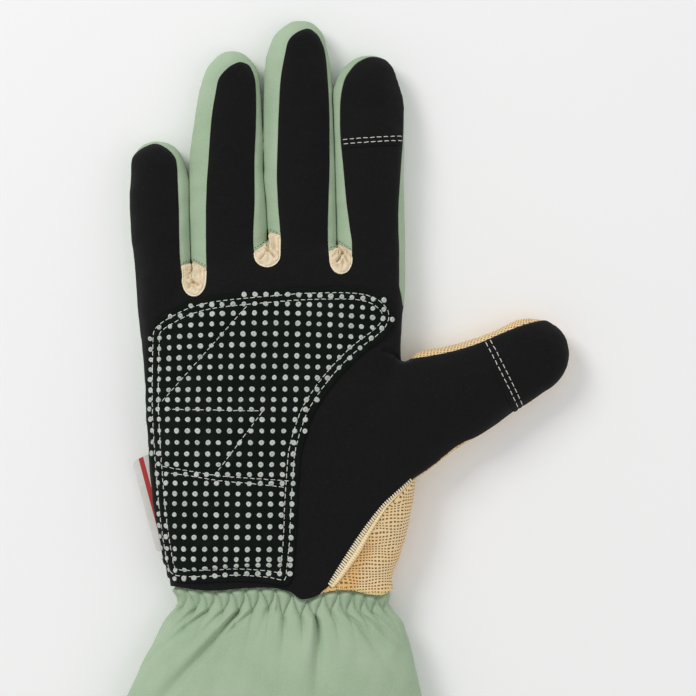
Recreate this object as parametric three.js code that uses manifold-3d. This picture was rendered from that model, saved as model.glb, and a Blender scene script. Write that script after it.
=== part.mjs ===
// A rose pruning gauntlet for the right hand: a work glove with a long flared cuff, lying on its back, palm up.
// The palm side is one black panel, with a grip patch sewn over the palm and touch patches on thumb and index.
// Green bands wrap the sides and tips of the fingers, cream gussets close the forks, and a cream mesh wraps
// the thumb's back and the heel of the hand. A green cuff is gathered at the wrist and flares to its hem.
// Units are millimetres. X runs from the little finger to the thumb, Y from the cuff to the fingertips, Z up.
// The origin is on the table, under the middle of the palm. The glove is hollow from the cuff to the tips.
import * as THREE from "three";
import { mergeVertices } from "three/addons/utils/BufferGeometryUtils.js";
import Module from "manifold-3d";

const wasm = await Module();
wasm.setup();

// Driving sizes of the hand.
const palmWidth = 94;
const palmLength = 118; // wrist seam to the fork between ring and middle finger
const palmHeight = 25;
const littleLength = 64.8;
const ringLength = 84.5;
const middleLength = 91.7;
const indexLength = 86.4;
const fingerHeight = 18;
const fingerGap = 0.6; // crevice between two neighbouring fingers
const thumbLength = 92; // from inside the palm to the tip
const thumbWidth = 40;
const thumbHeight = 21;
const thumbAngle = 25.3; // degrees from X towards Y

// Driving sizes of the cloth and what is sewn on it.
const wall = 1.4;
const seamGap = 0.3;
const seamHeight = 7.2; // height of the side seam above the table
const patchThickness = 1.2;
const tipPatchThickness = 0.8;
const forkWidth = 9.2;
const gussetLength = 10.5;
const bindingWidth = 3.4;
const bindingRise = 0.7;
const labelLength = 35;
const labelWidth = 7;
const labelThickness = 0.9;

// Driving sizes of the cuff.
const cuffLength = 180;
const cuffMouthWidth = 150;
const cuffMouthHeight = 36;
const cuffWall = 1.2;
const gatherCount = 26;
const gatherDepth = 1.5;
const hemLength = 14;
const hemThickening = 0.8;

// Resolution of the rounded forms.
const fingerPoints = 14;
const palmPoints = 32;
const pointsPerGather = 3;

const bellyShare = 0.42; // height of the widest place of every section, as a share of its height
const fingerFullness = 2;
const palmFullness = 2.5;
const tallest = 3 * palmHeight; // above everything, for the cutters
const wristY = -palmLength / 2;

// Sections of the palm. along: share of palmLength from the wrist. left, right: shares of palmWidth.
// height: share of palmHeight. bow: how much of the knuckle arc the section follows.
const palmSections = [
  { along: 0, left: -0.417, right: 0.449, height: 0.86, bow: 0 },
  { along: 0.08, left: -0.445, right: 0.451, height: 0.88, bow: 0.05 },
  { along: 0.18, left: -0.472, right: 0.5, height: 0.94, bow: 0.1 },
  { along: 0.3, left: -0.488, right: 0.527, height: 1, bow: 0.2 },
  { along: 0.45, left: -0.5, right: 0.535, height: 1, bow: 0.4 },
  { along: 0.62, left: -0.508, right: 0.512, height: 0.95, bow: 0.6 },
  { along: 0.8, left: -0.518, right: 0.492, height: 0.87, bow: 0.8 },
  { along: 1, left: -0.533, right: 0.488, height: 0.8, bow: 1 },
];

// The fingers. Edges are shares of palmWidth at the knuckle arc, half way and where the tip's rounding starts.
// rounding: share of palmWidth. The black strip on the palm side spans from blackLeft to blackRight, shares of
// the half width at root and tip, and stops tipInset, a share of palmWidth, before the tip. lean and tipShift
// move the strip's end and the tip itself towards the thumb, as shares of the half width and of palmWidth.
const fingers = [
  {
    name: "little", length: littleLength, rounding: 0.1,
    left: [-0.545, -0.58, -0.578], right: [-0.331, -0.346, -0.362],
    blackLeft: [-1.4, -1.4], blackRight: [0.58, 0.64], tipInset: 0.012, lean: 0, tipShift: 0,
  },
  {
    name: "ring", length: ringLength, rounding: 0.177,
    left: [-0.3365, -0.346, -0.313], right: [-0.037, -0.055, -0.071],
    blackLeft: [-0.67, -0.44], blackRight: [0.6, 0.86], tipInset: 0.045, lean: 0.2, tipShift: 0.017,
  },
  {
    name: "middle", length: middleLength, rounding: 0.175,
    left: [-0.038, -0.057, -0.047], right: [0.236, 0.2125, 0.2086],
    blackLeft: [-0.64, -0.48], blackRight: [0.7, 0.92], tipInset: 0.03, lean: 0.08, tipShift: 0.012,
  },
  {
    name: "index", length: indexLength, rounding: 0.181,
    left: [0.242, 0.2125, 0.2086], right: [0.506, 0.499, 0.4905],
    blackLeft: [-0.63, -0.76], blackRight: [0.78, 0.98], tipInset: 0.012, lean: 0.04, tipShift: 0.003,
  },
];

// Sections of the thumb. along: share of thumbLength. offset, half: shares of thumbWidth. height: of thumbHeight.
const thumbSections = [
  { along: 0, offset: 0, half: 0.5, height: 1 },
  { along: 0.22, offset: 0.05, half: 0.53, height: 1.04 },
  { along: 0.43, offset: 0.07, half: 0.48, height: 1 },
  { along: 0.6, offset: 0.043, half: 0.418, height: 0.92 },
  { along: 0.75, offset: 0.04, half: 0.368, height: 0.84 },
  { along: 0.845, offset: 0.045, half: 0.338, height: 0.78 },
];
const thumbRoot = { x: 0.244, y: -0.069 }; // shares of palmWidth and palmLength
const thumbTipShare = 0.845; // where the rounding of the tip starts, as a share of thumbLength

// Sections of the cuff. along: share of cuffLength from the wrist. spread: 0 is the wrist, 1 the mouth.
// lift: the same for the height. gather: share of gatherDepth. shift: sideways, a share of cuffMouthWidth.
const cuffSections = [
  { along: 0, spread: 0, lift: 0, gather: 0.35, shift: 0 },
  { along: 0.02, spread: 0.015, lift: 0.02, gather: 0.8, shift: 0 },
  { along: 0.045, spread: -0.02, lift: -0.1, gather: 0.6, shift: 0 },
  { along: 0.075, spread: 0.12, lift: 0.1, gather: 1, shift: 0 },
  { along: 0.14, spread: 0.24, lift: 0.25, gather: 0.7, shift: -0.008 },
  { along: 0.27, spread: 0.46, lift: 0.48, gather: 0.4, shift: -0.02 },
  { along: 0.48, spread: 0.77, lift: 0.75, gather: 0.2, shift: -0.022 },
  { along: 0.72, spread: 0.94, lift: 0.92, gather: 0.1, shift: -0.018 },
  { along: 1, spread: 1, lift: 1, gather: 0.06, shift: -0.015 },
];

// Outlines seen from above, as shares of palmWidth (x) and palmLength (y).
const blackPalmOutline = [
  { x: -0.7, y: -0.7 }, { x: 0.13, y: -0.7 }, { x: 0.16, y: -0.525 }, { x: 0.198, y: -0.484 },
  { x: 0.228, y: -0.445 }, { x: 0.283, y: -0.37 }, { x: 0.342, y: -0.295 }, { x: 0.41, y: -0.22 },
  { x: 0.5, y: -0.165 }, { x: 0.56, y: -0.1 }, { x: 0.6, y: 0.1 }, { x: 0.515, y: 0.225 },
  { x: 0.6, y: 0.25 }, { x: 0.6, y: 0.36 }, { x: 0.49, y: 0.395 }, { x: 0.462, y: 0.47 },
];
const blackThumbOutline = [
  { x: 0.41, y: -0.22 }, { x: 0.51, y: -0.1525 }, { x: 0.62, y: -0.092 }, { x: 0.75, y: -0.02 },
  { x: 0.9, y: 0.055 }, { x: 1.02, y: 0.1 }, { x: 1.25, y: 0.12 }, { x: 1.25, y: 0.36 },
  { x: 1.051, y: 0.343 }, { x: 0.97, y: 0.325 }, { x: 0.886, y: 0.308 }, { x: 0.772, y: 0.27 },
  { x: 0.638, y: 0.241 }, { x: 0.51, y: 0.228 }, { x: 0.3, y: 0.2 }, { x: 0.25, y: -0.1 },
];
const gripPatchOutline = [
  { x: -0.425, y: -0.478 }, { x: -0.452, y: -0.4 }, { x: -0.475, y: -0.28 }, { x: -0.486, y: -0.1 },
  { x: -0.49, y: 0.1 }, { x: -0.486, y: 0.25 }, { x: -0.465, y: 0.3 }, { x: -0.41, y: 0.345 },
  { x: -0.32, y: 0.375 }, { x: -0.2, y: 0.4 }, { x: -0.06, y: 0.424 }, { x: 0.1, y: 0.437 },
  { x: 0.28, y: 0.438 }, { x: 0.375, y: 0.423 }, { x: 0.43, y: 0.385 }, { x: 0.435, y: 0.345 },
  { x: 0.4, y: 0.29 }, { x: 0.3, y: 0.215 }, { x: 0.21, y: 0.12 }, { x: 0.14, y: 0.03 },
  { x: 0.095, y: -0.07 }, { x: 0.075, y: -0.2 }, { x: 0.062, y: -0.35 }, { x: 0.05, y: -0.478 },
];
const meshOutline = [
  { x: 0.06, y: -0.7 }, { x: 1.3, y: -0.7 }, { x: 1.3, y: 0.6 }, { x: 0.56, y: 0.3 },
  { x: 0.485, y: 0.222 }, { x: 0.4, y: 0.2 }, { x: 0.3, y: 0.05 }, { x: 0.2, y: -0.2 },
  { x: 0.1, y: -0.45 },
];
// The overlocked seam along the mesh: the black edge, and how far the ridge reaches, a share of bindingWidth.
const bindingCourse = [
  { x: 0.41, y: -0.22, reach: 0.35 }, { x: 0.342, y: -0.295, reach: 0.7 },
  { x: 0.283, y: -0.37, reach: 1 }, { x: 0.228, y: -0.445, reach: 0.8 }, { x: 0.2, y: -0.482, reach: 0.5 },
];
const indexPatchStart = 0.622; // share of indexLength from the knuckle arc to the touch patch's stitching
const thumbPatchStart = 0.7; // share of thumbLength
const label = { x: -0.481, y: -0.232, turn: 15 }; // place in shares of palm width and length, turn in degrees

// Height of the knuckle arc, which the forks lie on, above the palm's middle line at a given x.
function knuckleArc(x) {
  const share = x / palmWidth;
  return palmLength / 2 + palmWidth * (0.0138 + 0.0845 * share - 0.811 * share * share);
}

// A value between three stations at 0, 0.5 and 1.
function bend([a, b, c], t) {
  return a * (1 - t) * (1 - 2 * t) + 4 * b * t * (1 - t) + c * t * (2 * t - 1);
}

function blend([a, b], t) {
  return a + (b - a) * t;
}

function signedPower(value, power) {
  return Math.sign(value) * Math.abs(value) ** power;
}

// A closed mesh's geometry as a solid that can be cut and joined.
function toSolid(geometry) {
  const bare = geometry.clone();
  bare.deleteAttribute("normal");
  bare.deleteAttribute("uv");
  const merged = mergeVertices(bare, 1e-4);
  const mesh = new wasm.Mesh({
    numProp: 3,
    vertProperties: new Float32Array(merged.attributes.position.array),
    triVerts: new Uint32Array(merged.index.array),
  });
  return new wasm.Manifold(mesh);
}

function toGeometry(solid) {
  const mesh = solid.getMesh();
  const geometry = new THREE.BufferGeometry();
  geometry.setAttribute("position", new THREE.BufferAttribute(mesh.vertProperties, 3));
  geometry.setIndex(new THREE.BufferAttribute(mesh.triVerts, 1));
  geometry.computeVertexNormals();
  return geometry;
}

// One cross-section: crowned above, flat where it lies on the table. skin moves its surface out, or in if negative.
// The points run from the thumb side over the top to the little finger's side and back underneath.
function section({ left, right, height, round = 1, shift = 0, fullness, count, skin, place }) {
  const centre = (left + right) / 2 + shift * (1 - round);
  const halfWidth = ((right - left) / 2) * round + skin;
  const belly = height * bellyShare;
  const halfHeight = (height - belly) * round + skin;
  const points = [];
  for (let i = 0; i < count; i++) {
    const angle = (2 * Math.PI * i) / count;
    const x = centre + halfWidth * signedPower(Math.cos(angle), 2 / fullness);
    const z = belly + halfHeight * signedPower(Math.sin(angle), 2 / fullness);
    points.push(place(x, Math.max(z, -skin)));
  }
  return points;
}

// A solid through sections that all have the same number of points. Each end is closed from side to side.
function loft(rings) {
  const count = rings[0].length;
  const positions = rings.flat().flatMap((p) => [p.x, p.y, p.z]);
  const index = [];
  for (let r = 0; r + 1 < rings.length; r++) {
    for (let i = 0; i < count; i++) {
      const a = r * count + i;
      const b = r * count + ((i + 1) % count);
      index.push(a, b, b + count, a, b + count, a + count);
    }
  }
  const close = (start, turned) => {
    for (let i = 0; i < count / 2; i++) {
      const low = start + ((count - i) % count);
      const nextLow = start + count - i - 1;
      const faces = [[start + i, start + i + 1, nextLow], [start + i, nextLow, low]];
      for (const [a, b, c] of faces) {
        if (a !== b && b !== c && a !== c) index.push(...(turned ? [a, c, b] : [a, b, c]));
      }
    }
  };
  close(0, true);
  close((rings.length - 1) * count, false);
  const geometry = new THREE.BufferGeometry();
  geometry.setAttribute("position", new THREE.Float32BufferAttribute(positions, 3));
  geometry.setIndex(index);
  const solid = toSolid(geometry);
  if (solid.volume() > 0) return solid;
  geometry.setIndex(index.reverse());
  return toSolid(geometry);
}

// Angles at which the rounded end of a finger, thumb or palm gets its sections.
const roundingAngles = [30, 56, 79].map(THREE.MathUtils.degToRad);

function fingerAt(finger, y) {
  const straight = finger.length - finger.rounding * palmWidth;
  const t = THREE.MathUtils.clamp((y - finger.rootY) / straight, 0, 1);
  const gap = fingerGap / 2;
  return {
    left: palmWidth * bend(finger.left, t) + gap,
    right: palmWidth * bend(finger.right, t) - gap,
    height: fingerHeight * (1 - 0.16 * t * t),
  };
}

for (const finger of fingers) {
  finger.rootY = knuckleArc((palmWidth * (finger.left[0] + finger.right[0])) / 2);
  finger.tipY = finger.rootY + finger.length;
}

function fingerSolid(finger, skin) {
  const rounding = finger.rounding * palmWidth;
  const roundY = finger.tipY - rounding;
  const rings = [];
  const rootSink = 0.12 * palmLength;
  const rootTuck = 0.018 * palmWidth;
  const stations = [0, 0.3, 0.65, 1];
  const add = (y, shape, round) =>
    rings.push(
      section({
        ...shape, round, shift: finger.tipShift * palmWidth, fullness: fingerFullness, count: fingerPoints, skin,
        place: (x, z) => new THREE.Vector3(x, y, z),
      }),
    );
  const root = fingerAt(finger, finger.rootY);
  add(finger.rootY - rootSink, { ...root, left: root.left + rootTuck, right: root.right - rootTuck }, 1);
  for (const share of stations) {
    const y = finger.rootY + share * (roundY - finger.rootY);
    add(y, fingerAt(finger, y), 1);
  }
  for (const angle of roundingAngles) {
    add(roundY + (rounding + skin) * Math.sin(angle), fingerAt(finger, roundY), Math.cos(angle));
  }
  return loft(rings);
}

function thumbSolid(skin) {
  const turn = THREE.MathUtils.degToRad(thumbAngle);
  const root = new THREE.Vector3(thumbRoot.x * palmWidth, thumbRoot.y * palmLength, 0);
  const place = (along) => (x, z) =>
    new THREE.Vector3(along, -x, z).applyAxisAngle(new THREE.Vector3(0, 0, 1), turn).add(root);
  const ring = (station, along, round) =>
    section({
      left: -thumbWidth * (station.offset + station.half),
      right: -thumbWidth * (station.offset - station.half),
      height: thumbHeight * station.height,
      round, fullness: fingerFullness, count: fingerPoints + 2, skin, place: place(along),
    });
  const rings = thumbSections.map((s) => ring(s, s.along * thumbLength, 1));
  const last = thumbSections[thumbSections.length - 1];
  const rounding = (1 - thumbTipShare) * thumbLength;
  for (const angle of roundingAngles) {
    rings.push(ring(last, thumbTipShare * thumbLength + (rounding + skin) * Math.sin(angle), Math.cos(angle)));
  }
  return loft(rings);
}

function palmSolid(skin) {
  const ring = (s, y, round) =>
    section({
      left: s.left * palmWidth,
      right: s.right * palmWidth,
      height: s.height * palmHeight,
      fullness: palmFullness, count: palmPoints, skin,
      place: (x, z) => {
        const belly = s.height * palmHeight * bellyShare;
        const drop = s.bow * (knuckleArc(x) - palmLength / 2);
        return new THREE.Vector3(x, y + drop, belly + (z - belly) * round);
      },
    });
  const rings = palmSections.map((s) => ring(s, wristY + s.along * palmLength, 1));
  const last = palmSections[palmSections.length - 1];
  for (const angle of roundingAngles) {
    const y = wristY + palmLength + (gussetLength + skin) * Math.sin(angle);
    rings.push(ring({ ...last, left: last.left + 0.02, right: last.right - 0.02 }, y, Math.cos(angle)));
  }
  // The wrist end runs past the seam, and is cut off square later.
  const open = ring(palmSections[0], wristY - palmLength / 4, 1);
  return loft([open, ...rings]);
}

function handSolid(skin) {
  let hand = palmSolid(skin).add(thumbSolid(skin));
  for (const finger of fingers) hand = hand.add(fingerSolid(finger, skin));
  return hand;
}

// Moves a closed outline inwards by a distance, or outwards if it is negative.
function insetOutline(points, distance) {
  const turned = THREE.ShapeUtils.isClockWise(points) ? -1 : 1;
  return points.map((p, i) => {
    const before = points[(i + points.length - 1) % points.length];
    const after = points[(i + 1) % points.length];
    const first = p.clone().sub(before).normalize();
    const second = after.clone().sub(p).normalize();
    const normal = new THREE.Vector2(-first.y - second.y, first.x + second.x).normalize();
    const spread = Math.max(0.5, normal.dot(new THREE.Vector2(-first.y, first.x)));
    return p.clone().addScaledVector(normal, (turned * distance) / spread);
  });
}

// An upright cutter over an outline seen from above.
function prism(points, inset, low = -tallest, high = tallest) {
  const shape = new THREE.Shape(insetOutline(points, inset));
  const geometry = new THREE.ExtrudeGeometry(shape, { depth: high - low, bevelEnabled: false });
  return toSolid(geometry.translate(0, 0, low));
}

function slab(lowZ, highZ, lowY = -3 * cuffLength, highY = 3 * palmLength) {
  const box = new THREE.BoxGeometry(6 * palmWidth, highY - lowY, highZ - lowZ);
  return toSolid(box.translate(0, (lowY + highY) / 2, (lowZ + highZ) / 2));
}

function palmOutline(shares) {
  return shares.map((p) => new THREE.Vector2(p.x * palmWidth, p.y * palmLength));
}

// The black strip on a finger's palm side, from fromShare of the finger's length to its rounded end.
function stripOutline(finger, fromShare) {
  const rounding = finger.rounding * palmWidth;
  const endY = finger.tipY - finger.tipInset * palmWidth;
  const roundY = endY - rounding;
  const side = (black, outward) => {
    const points = [];
    const at = (y, round) => {
      const { left, right } = fingerAt(finger, y);
      const t = THREE.MathUtils.clamp((y - finger.rootY) / (roundY - finger.rootY), 0, 1);
      const half = (right - left) / 2;
      const middle = (blend(finger.blackLeft, t) + blend(finger.blackRight, t)) / 2;
      const lean = finger.lean * (1 - round);
      const edge = middle + lean + (blend(black, t) - middle) * round;
      points.push(new THREE.Vector2((left + right) / 2 + edge * half, y));
    };
    const startY = finger.rootY + fromShare * finger.length;
    const steps = 5;
    for (let i = 0; i <= steps; i++) at(startY + ((roundY - startY) * i) / steps, 1);
    for (const angle of roundingAngles) at(roundY + rounding * Math.sin(angle), Math.cos(angle));
    return outward ? points : points.reverse();
  };
  return [...side(finger.blackRight, true), ...side(finger.blackLeft, false)];
}

// The three forks, each between two neighbouring fingers.
const forks = [0, 1, 2].map((i) => {
  const [a, b] = [fingers[i], fingers[i + 1]];
  const x = (palmWidth * (a.right[0] + b.left[0])) / 2;
  return { name: a.name + "_" + b.name, x, y: knuckleArc(x) };
});

// The U that the black panel leaves open at a fork.
function forkOutline(fork, length) {
  const radius = forkWidth / 2;
  const steps = 8;
  const points = [];
  for (let i = 0; i <= steps; i++) {
    const angle = Math.PI * (1 + i / steps);
    points.push(new THREE.Vector2(fork.x + radius * Math.cos(angle), fork.y + radius * (1 + Math.sin(angle))));
  }
  points.push(new THREE.Vector2(fork.x + radius, fork.y + length));
  points.push(new THREE.Vector2(fork.x - radius, fork.y + length));
  return points;
}

// The box that holds a gusset, wider than its U and no wider than the fingers beside it.
function gussetOutline(fork) {
  const half = forkWidth;
  const corners = [[-half, -2], [half, -2], [half, gussetLength], [-half, gussetLength]];
  return corners.map(([x, y]) => new THREE.Vector2(fork.x + x, fork.y + y));
}

// Everything black on the palm side, for a cutter that is inset or grown.
function blackCutter(inset) {
  const palmTop = [];
  const steps = 12;
  for (let i = 0; i <= steps; i++) {
    const x = palmWidth * (0.44 - (1.14 * i) / steps);
    palmTop.push(new THREE.Vector2(x, knuckleArc(x) + 0.6 * forkWidth));
  }
  let cutter = prism([...palmOutline(blackPalmOutline), ...palmTop], inset);
  cutter = cutter.add(prism(palmOutline(blackThumbOutline), inset));
  for (const finger of fingers) cutter = cutter.add(prism(stripOutline(finger, -0.15), inset));
  for (const fork of forks) cutter = cutter.subtract(prism(forkOutline(fork, gussetLength), -inset));
  return cutter;
}

function bindingOutline() {
  const edge = palmOutline(bindingCourse);
  const outer = edge.map((p, i) => {
    const before = edge[Math.max(i - 1, 0)];
    const after = edge[Math.min(i + 1, edge.length - 1)];
    const along = after.clone().sub(before).normalize();
    return p.clone().addScaledVector(new THREE.Vector2(-along.y, along.x), bindingCourse[i].reach * bindingWidth);
  });
  return [...edge, ...outer.reverse()];
}

// The gathered cuff: ripples ride on each section, and die away towards the hem.
function cuffSolid(skin) {
  const wrist = palmSections[0];
  const wristHalf = ((wrist.right - wrist.left) * palmWidth) / 2;
  const wristCentre = ((wrist.right + wrist.left) * palmWidth) / 2;
  const wristHeight = wrist.height * palmHeight;
  const count = gatherCount * pointsPerGather;
  const ring = (s, y, thicker) => {
    const half = wristHalf + s.spread * (cuffMouthWidth / 2 - wristHalf) + skin + thicker;
    const height = wristHeight + s.lift * (cuffMouthHeight - wristHeight);
    const belly = height * bellyShare;
    const halfHeight = height - belly + skin + thicker;
    const points = [];
    for (let i = 0; i < count; i++) {
      const angle = (2 * Math.PI * i) / count;
      const ripple = s.gather * gatherDepth * Math.cos((2 * Math.PI * i) / pointsPerGather) - s.gather * gatherDepth;
      const x = (half + ripple) * signedPower(Math.cos(angle), 2 / palmFullness);
      const z = belly + (halfHeight + ripple) * signedPower(Math.sin(angle), 2 / palmFullness);
      const low = z < -skin ? -skin - ripple * 0.5 : z;
      points.push(new THREE.Vector3(wristCentre + s.shift * cuffMouthWidth + x, y, low));
    }
    return points;
  };
  const first = cuffSections[0];
  const last = cuffSections[cuffSections.length - 1];
  const hollow = skin < 0;
  const start = wristY - seamGap;
  const rings = cuffSections.slice(0, -1).map((s) => ring(s, start - s.along * cuffLength, 0));
  const thicker = hollow ? 0 : hemThickening;
  const end = start - cuffLength;
  if (!hollow) rings.push(ring(last, end + hemLength + hemThickening, 0));
  rings.push(ring(last, end + hemLength, thicker), ring(last, end, thicker));
  if (hollow) {
    rings.unshift(ring(first, start + wall, 0));
    rings.push(ring(last, end - wall, 0));
  }
  return loft(rings);
}

function labelSolid() {
  const box = new THREE.BoxGeometry(labelWidth, labelLength, labelThickness);
  box.rotateZ(THREE.MathUtils.degToRad(label.turn));
  const at = new THREE.Vector3(label.x * palmWidth, label.y * palmLength, seamHeight);
  return toSolid(box.translate(at.x, at.y, at.z));
}

const outer = handSolid(0);
const hand = slab(-tallest, tallest, wristY);
const shell = outer.subtract(handSolid(-wall)).intersect(hand);
const halfGap = seamGap / 2;
const front = slab(seamHeight + halfGap, tallest);
const back = slab(-tallest, seamHeight - halfGap);
const black = blackCutter(halfGap).intersect(front);
const blackGrown = blackCutter(-halfGap).intersect(slab(seamHeight - halfGap, tallest));
const meshCutter = prism(palmOutline(meshOutline), halfGap);
const meshGrown = prism(palmOutline(meshOutline), -halfGap);
const binding = prism(bindingOutline(), halfGap).intersect(front);
const bindingGrown = prism(bindingOutline(), -halfGap).intersect(slab(seamHeight - halfGap, tallest));
const notBlack = shell.subtract(blackGrown);

const pieces = [];

function piece(name, solid, material) {
  pieces.push({ name, solid, material });
}

const sage = { color: 0xa4ba9e, roughness: 0.85, metalness: 0 };
const blackSuede = { color: 0x191919, roughness: 0.9, metalness: 0 };
const gripCloth = { color: 0x141a16, roughness: 0.9, metalness: 0 };
const creamMesh = { color: 0xe9c88f, roughness: 0.85, metalness: 0 };
const creamCloth = { color: 0xe6d3b0, roughness: 0.9, metalness: 0 };
const whiteTape = { color: 0xe4e2dc, roughness: 0.8, metalness: 0 };

piece("palm_panel", shell.intersect(black), blackSuede);

// The sewn-on patches lie on the palm side, one seam gap above it.
const patchFloor = slab(seamHeight + seamGap, tallest);
const above = handSolid(seamGap);
const patchLayer = handSolid(seamGap + patchThickness).subtract(above).intersect(patchFloor).intersect(hand);
piece("palm_grip_patch", patchLayer.intersect(prism(palmOutline(gripPatchOutline), 0)), gripCloth);

const tipLayer = handSolid(seamGap + tipPatchThickness).subtract(above).intersect(patchFloor);
const indexFinger = fingers[3];
const indexPatch = prism(stripOutline(indexFinger, indexPatchStart), 3 * halfGap);
piece("index_tip_patch", tipLayer.intersect(indexPatch), blackSuede);

function thumbPatchOutline() {
  const turn = THREE.MathUtils.degToRad(thumbAngle);
  const reach = thumbPatchStart * thumbLength;
  const corners = [[reach, -thumbWidth], [2 * thumbLength, -thumbWidth], [2 * thumbLength, thumbWidth], [reach, thumbWidth]];
  const root = new THREE.Vector2(thumbRoot.x * palmWidth, thumbRoot.y * palmLength);
  return corners.map(([u, v]) => new THREE.Vector2(u, v).rotateAround(new THREE.Vector2(), turn).add(root));
}

const thumbPatch = prism(thumbPatchOutline(), 0).intersect(blackCutter(3 * halfGap));
piece("thumb_tip_patch", tipLayer.intersect(thumbPatch), blackSuede);

// The gussets, each in its fork, and the green bands round the fingers.
let gussetsGrown = prism(gussetOutline(forks[0]), -halfGap);
for (const fork of forks.slice(1)) gussetsGrown = gussetsGrown.add(prism(gussetOutline(fork), -halfGap));
const upper = notBlack.intersect(front);
for (const fork of forks) {
  piece("gusset_" + fork.name, upper.intersect(prism(gussetOutline(fork), halfGap)), creamCloth);
}

const bands = upper.subtract(gussetsGrown).subtract(meshGrown);

// The middle of the crevice on a finger's thumb side.
function creviceAt(i, y) {
  if (i < 0) return -palmWidth;
  return (fingerAt(fingers[i], y).right + fingerAt(fingers[i + 1], y).left) / 2;
}

// What lies between a finger's two crevices. The index's zone ends at the middle of its black strip.
function fingerZone(i) {
  const finger = fingers[i];
  const steps = 10;
  const left = [];
  const right = [];
  for (let step = 0; step <= steps; step++) {
    const y = blend([finger.rootY - gussetLength, finger.tipY + fingerGap], step / steps);
    const { left: low, right: high } = fingerAt(finger, y);
    left.push(new THREE.Vector2(creviceAt(i - 1, y), y));
    right.push(new THREE.Vector2(i === 3 ? (low + high) / 2 : creviceAt(i, y), y));
  }
  return [...right, ...left.reverse()];
}

fingers.forEach((finger, i) => {
  piece("finger_band_" + finger.name, bands.intersect(prism(fingerZone(i), fingerGap / 4)), sage);
});

// The back of the hand and fingers, and the mesh round the thumb and the heel of the hand.
const indexSide = prism([
  new THREE.Vector2((indexFinger.left[1] + indexFinger.right[1]) * 0.5 * palmWidth, 0),
  new THREE.Vector2(palmWidth, 0),
  new THREE.Vector2(palmWidth, 2 * palmLength),
  new THREE.Vector2((indexFinger.left[1] + indexFinger.right[1]) * 0.5 * palmWidth, 2 * palmLength),
], 0);
const backCloth = shell.subtract(meshGrown).subtract(blackGrown);
piece("back_panel", backCloth.intersect(back.add(indexSide)), sage);
piece("thumb_mesh_panel", notBlack.intersect(meshCutter).subtract(bindingGrown), creamMesh);
const bindingLayer = handSolid(bindingRise).subtract(handSolid(-wall)).intersect(hand);
piece("heel_seam_binding", bindingLayer.intersect(binding).subtract(blackGrown), creamCloth);

piece("side_label", labelSolid().subtract(handSolid(seamGap)), whiteTape);
piece("gauntlet_cuff", cuffSolid(0).subtract(cuffSolid(-cuffWall)), sage);

const glove = new THREE.Group();
for (const { name, solid, material } of pieces) {
  const mesh = new THREE.Mesh(toGeometry(solid), new THREE.MeshStandardMaterial(material));
  mesh.name = name;
  glove.add(mesh);
}

export default glove;
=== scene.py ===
"""The looks of a rose pruning gauntlet that lies on its back, palm up.

The hand is one smooth skin, cut along the seams into the cloth pieces that the glove is sewn from. Each piece
gets its thickness, its seam edges and its own cloth. Stitches, grip dots, overlocking and piping are threads
and domes laid on that skin. The cuff is a gathered tube of its own. Lengths are in millimetres until a mesh
is made.
"""

import math

import bpy
import numpy as np
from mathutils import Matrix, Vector
from mathutils.bvhtree import BVHTree


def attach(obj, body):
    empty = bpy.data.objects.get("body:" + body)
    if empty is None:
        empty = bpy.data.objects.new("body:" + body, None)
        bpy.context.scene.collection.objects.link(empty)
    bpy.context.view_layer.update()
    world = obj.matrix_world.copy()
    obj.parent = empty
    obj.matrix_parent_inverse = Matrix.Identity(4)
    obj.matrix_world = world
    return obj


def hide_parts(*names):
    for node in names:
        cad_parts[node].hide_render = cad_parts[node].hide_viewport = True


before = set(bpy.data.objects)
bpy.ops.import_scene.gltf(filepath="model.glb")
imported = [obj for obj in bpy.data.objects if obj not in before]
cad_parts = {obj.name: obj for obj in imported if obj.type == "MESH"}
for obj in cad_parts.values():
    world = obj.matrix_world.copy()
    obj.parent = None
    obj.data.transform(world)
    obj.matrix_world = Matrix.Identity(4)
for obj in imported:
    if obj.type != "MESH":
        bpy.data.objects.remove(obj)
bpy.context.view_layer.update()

rng = np.random.default_rng(7)

# Sizes of the hand.
PALM_W = 94.0
PALM_L = 118.0
PALM_H = 25.0
FINGER_H = 18.0
FINGER_GAP = 0.6
TIP_ROUND = 10.0
THUMB_L = 92.0
THUMB_W = 40.0
THUMB_H = 21.0
THUMB_TURN = math.radians(25.3)
THUMB_TIP = 0.845
THUMB_END = 1.012
THUMB_ROOT = np.array([0.244 * PALM_W, -0.069 * PALM_L])
SEAM_H = 7.2
SEAM_RAISE = 4.0
BELLY = 0.42
FORK_W = 9.2
GUSSET_L = 10.5
WRIST_Y = -PALM_L / 2
WALL = 1.2
PATCH_DEPTH = 0.9
TIP_PATCH_DEPTH = 0.7
GUSSET_DEPTH = 0.6

# Sizes of the cuff.
CUFF_L = 180.0
CUFF_WALL = 1.0
MOUTH_W = 150.0
MOUTH_H = 36.0
HEM_L = 14.0
WRIST_GAP = 0.3

# Sizes of the side label.
LABEL_L = 35.0
LABEL_W = 7.4
LABEL_WALL = 0.55
LABEL_CORNER = 1.6
LABEL_TURN = math.radians(15)

# along, left, right, height and bow, as shares of the palm's sizes.
PALM = np.array([
    (0, -0.415, 0.451, 0.86, 0), (0.05, -0.425, 0.447, 0.87, 0.03), (0.09, -0.433, 0.467, 0.89, 0.05),
    (0.18, -0.456, 0.5, 0.94, 0.1), (0.3, -0.481, 0.526, 1, 0.2), (0.45, -0.497, 0.535, 1, 0.4),
    (0.62, -0.505, 0.512, 0.95, 0.6), (0.8, -0.518, 0.481, 0.87, 0.8), (1, -0.54, 0.489, 0.8, 1),
])

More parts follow.
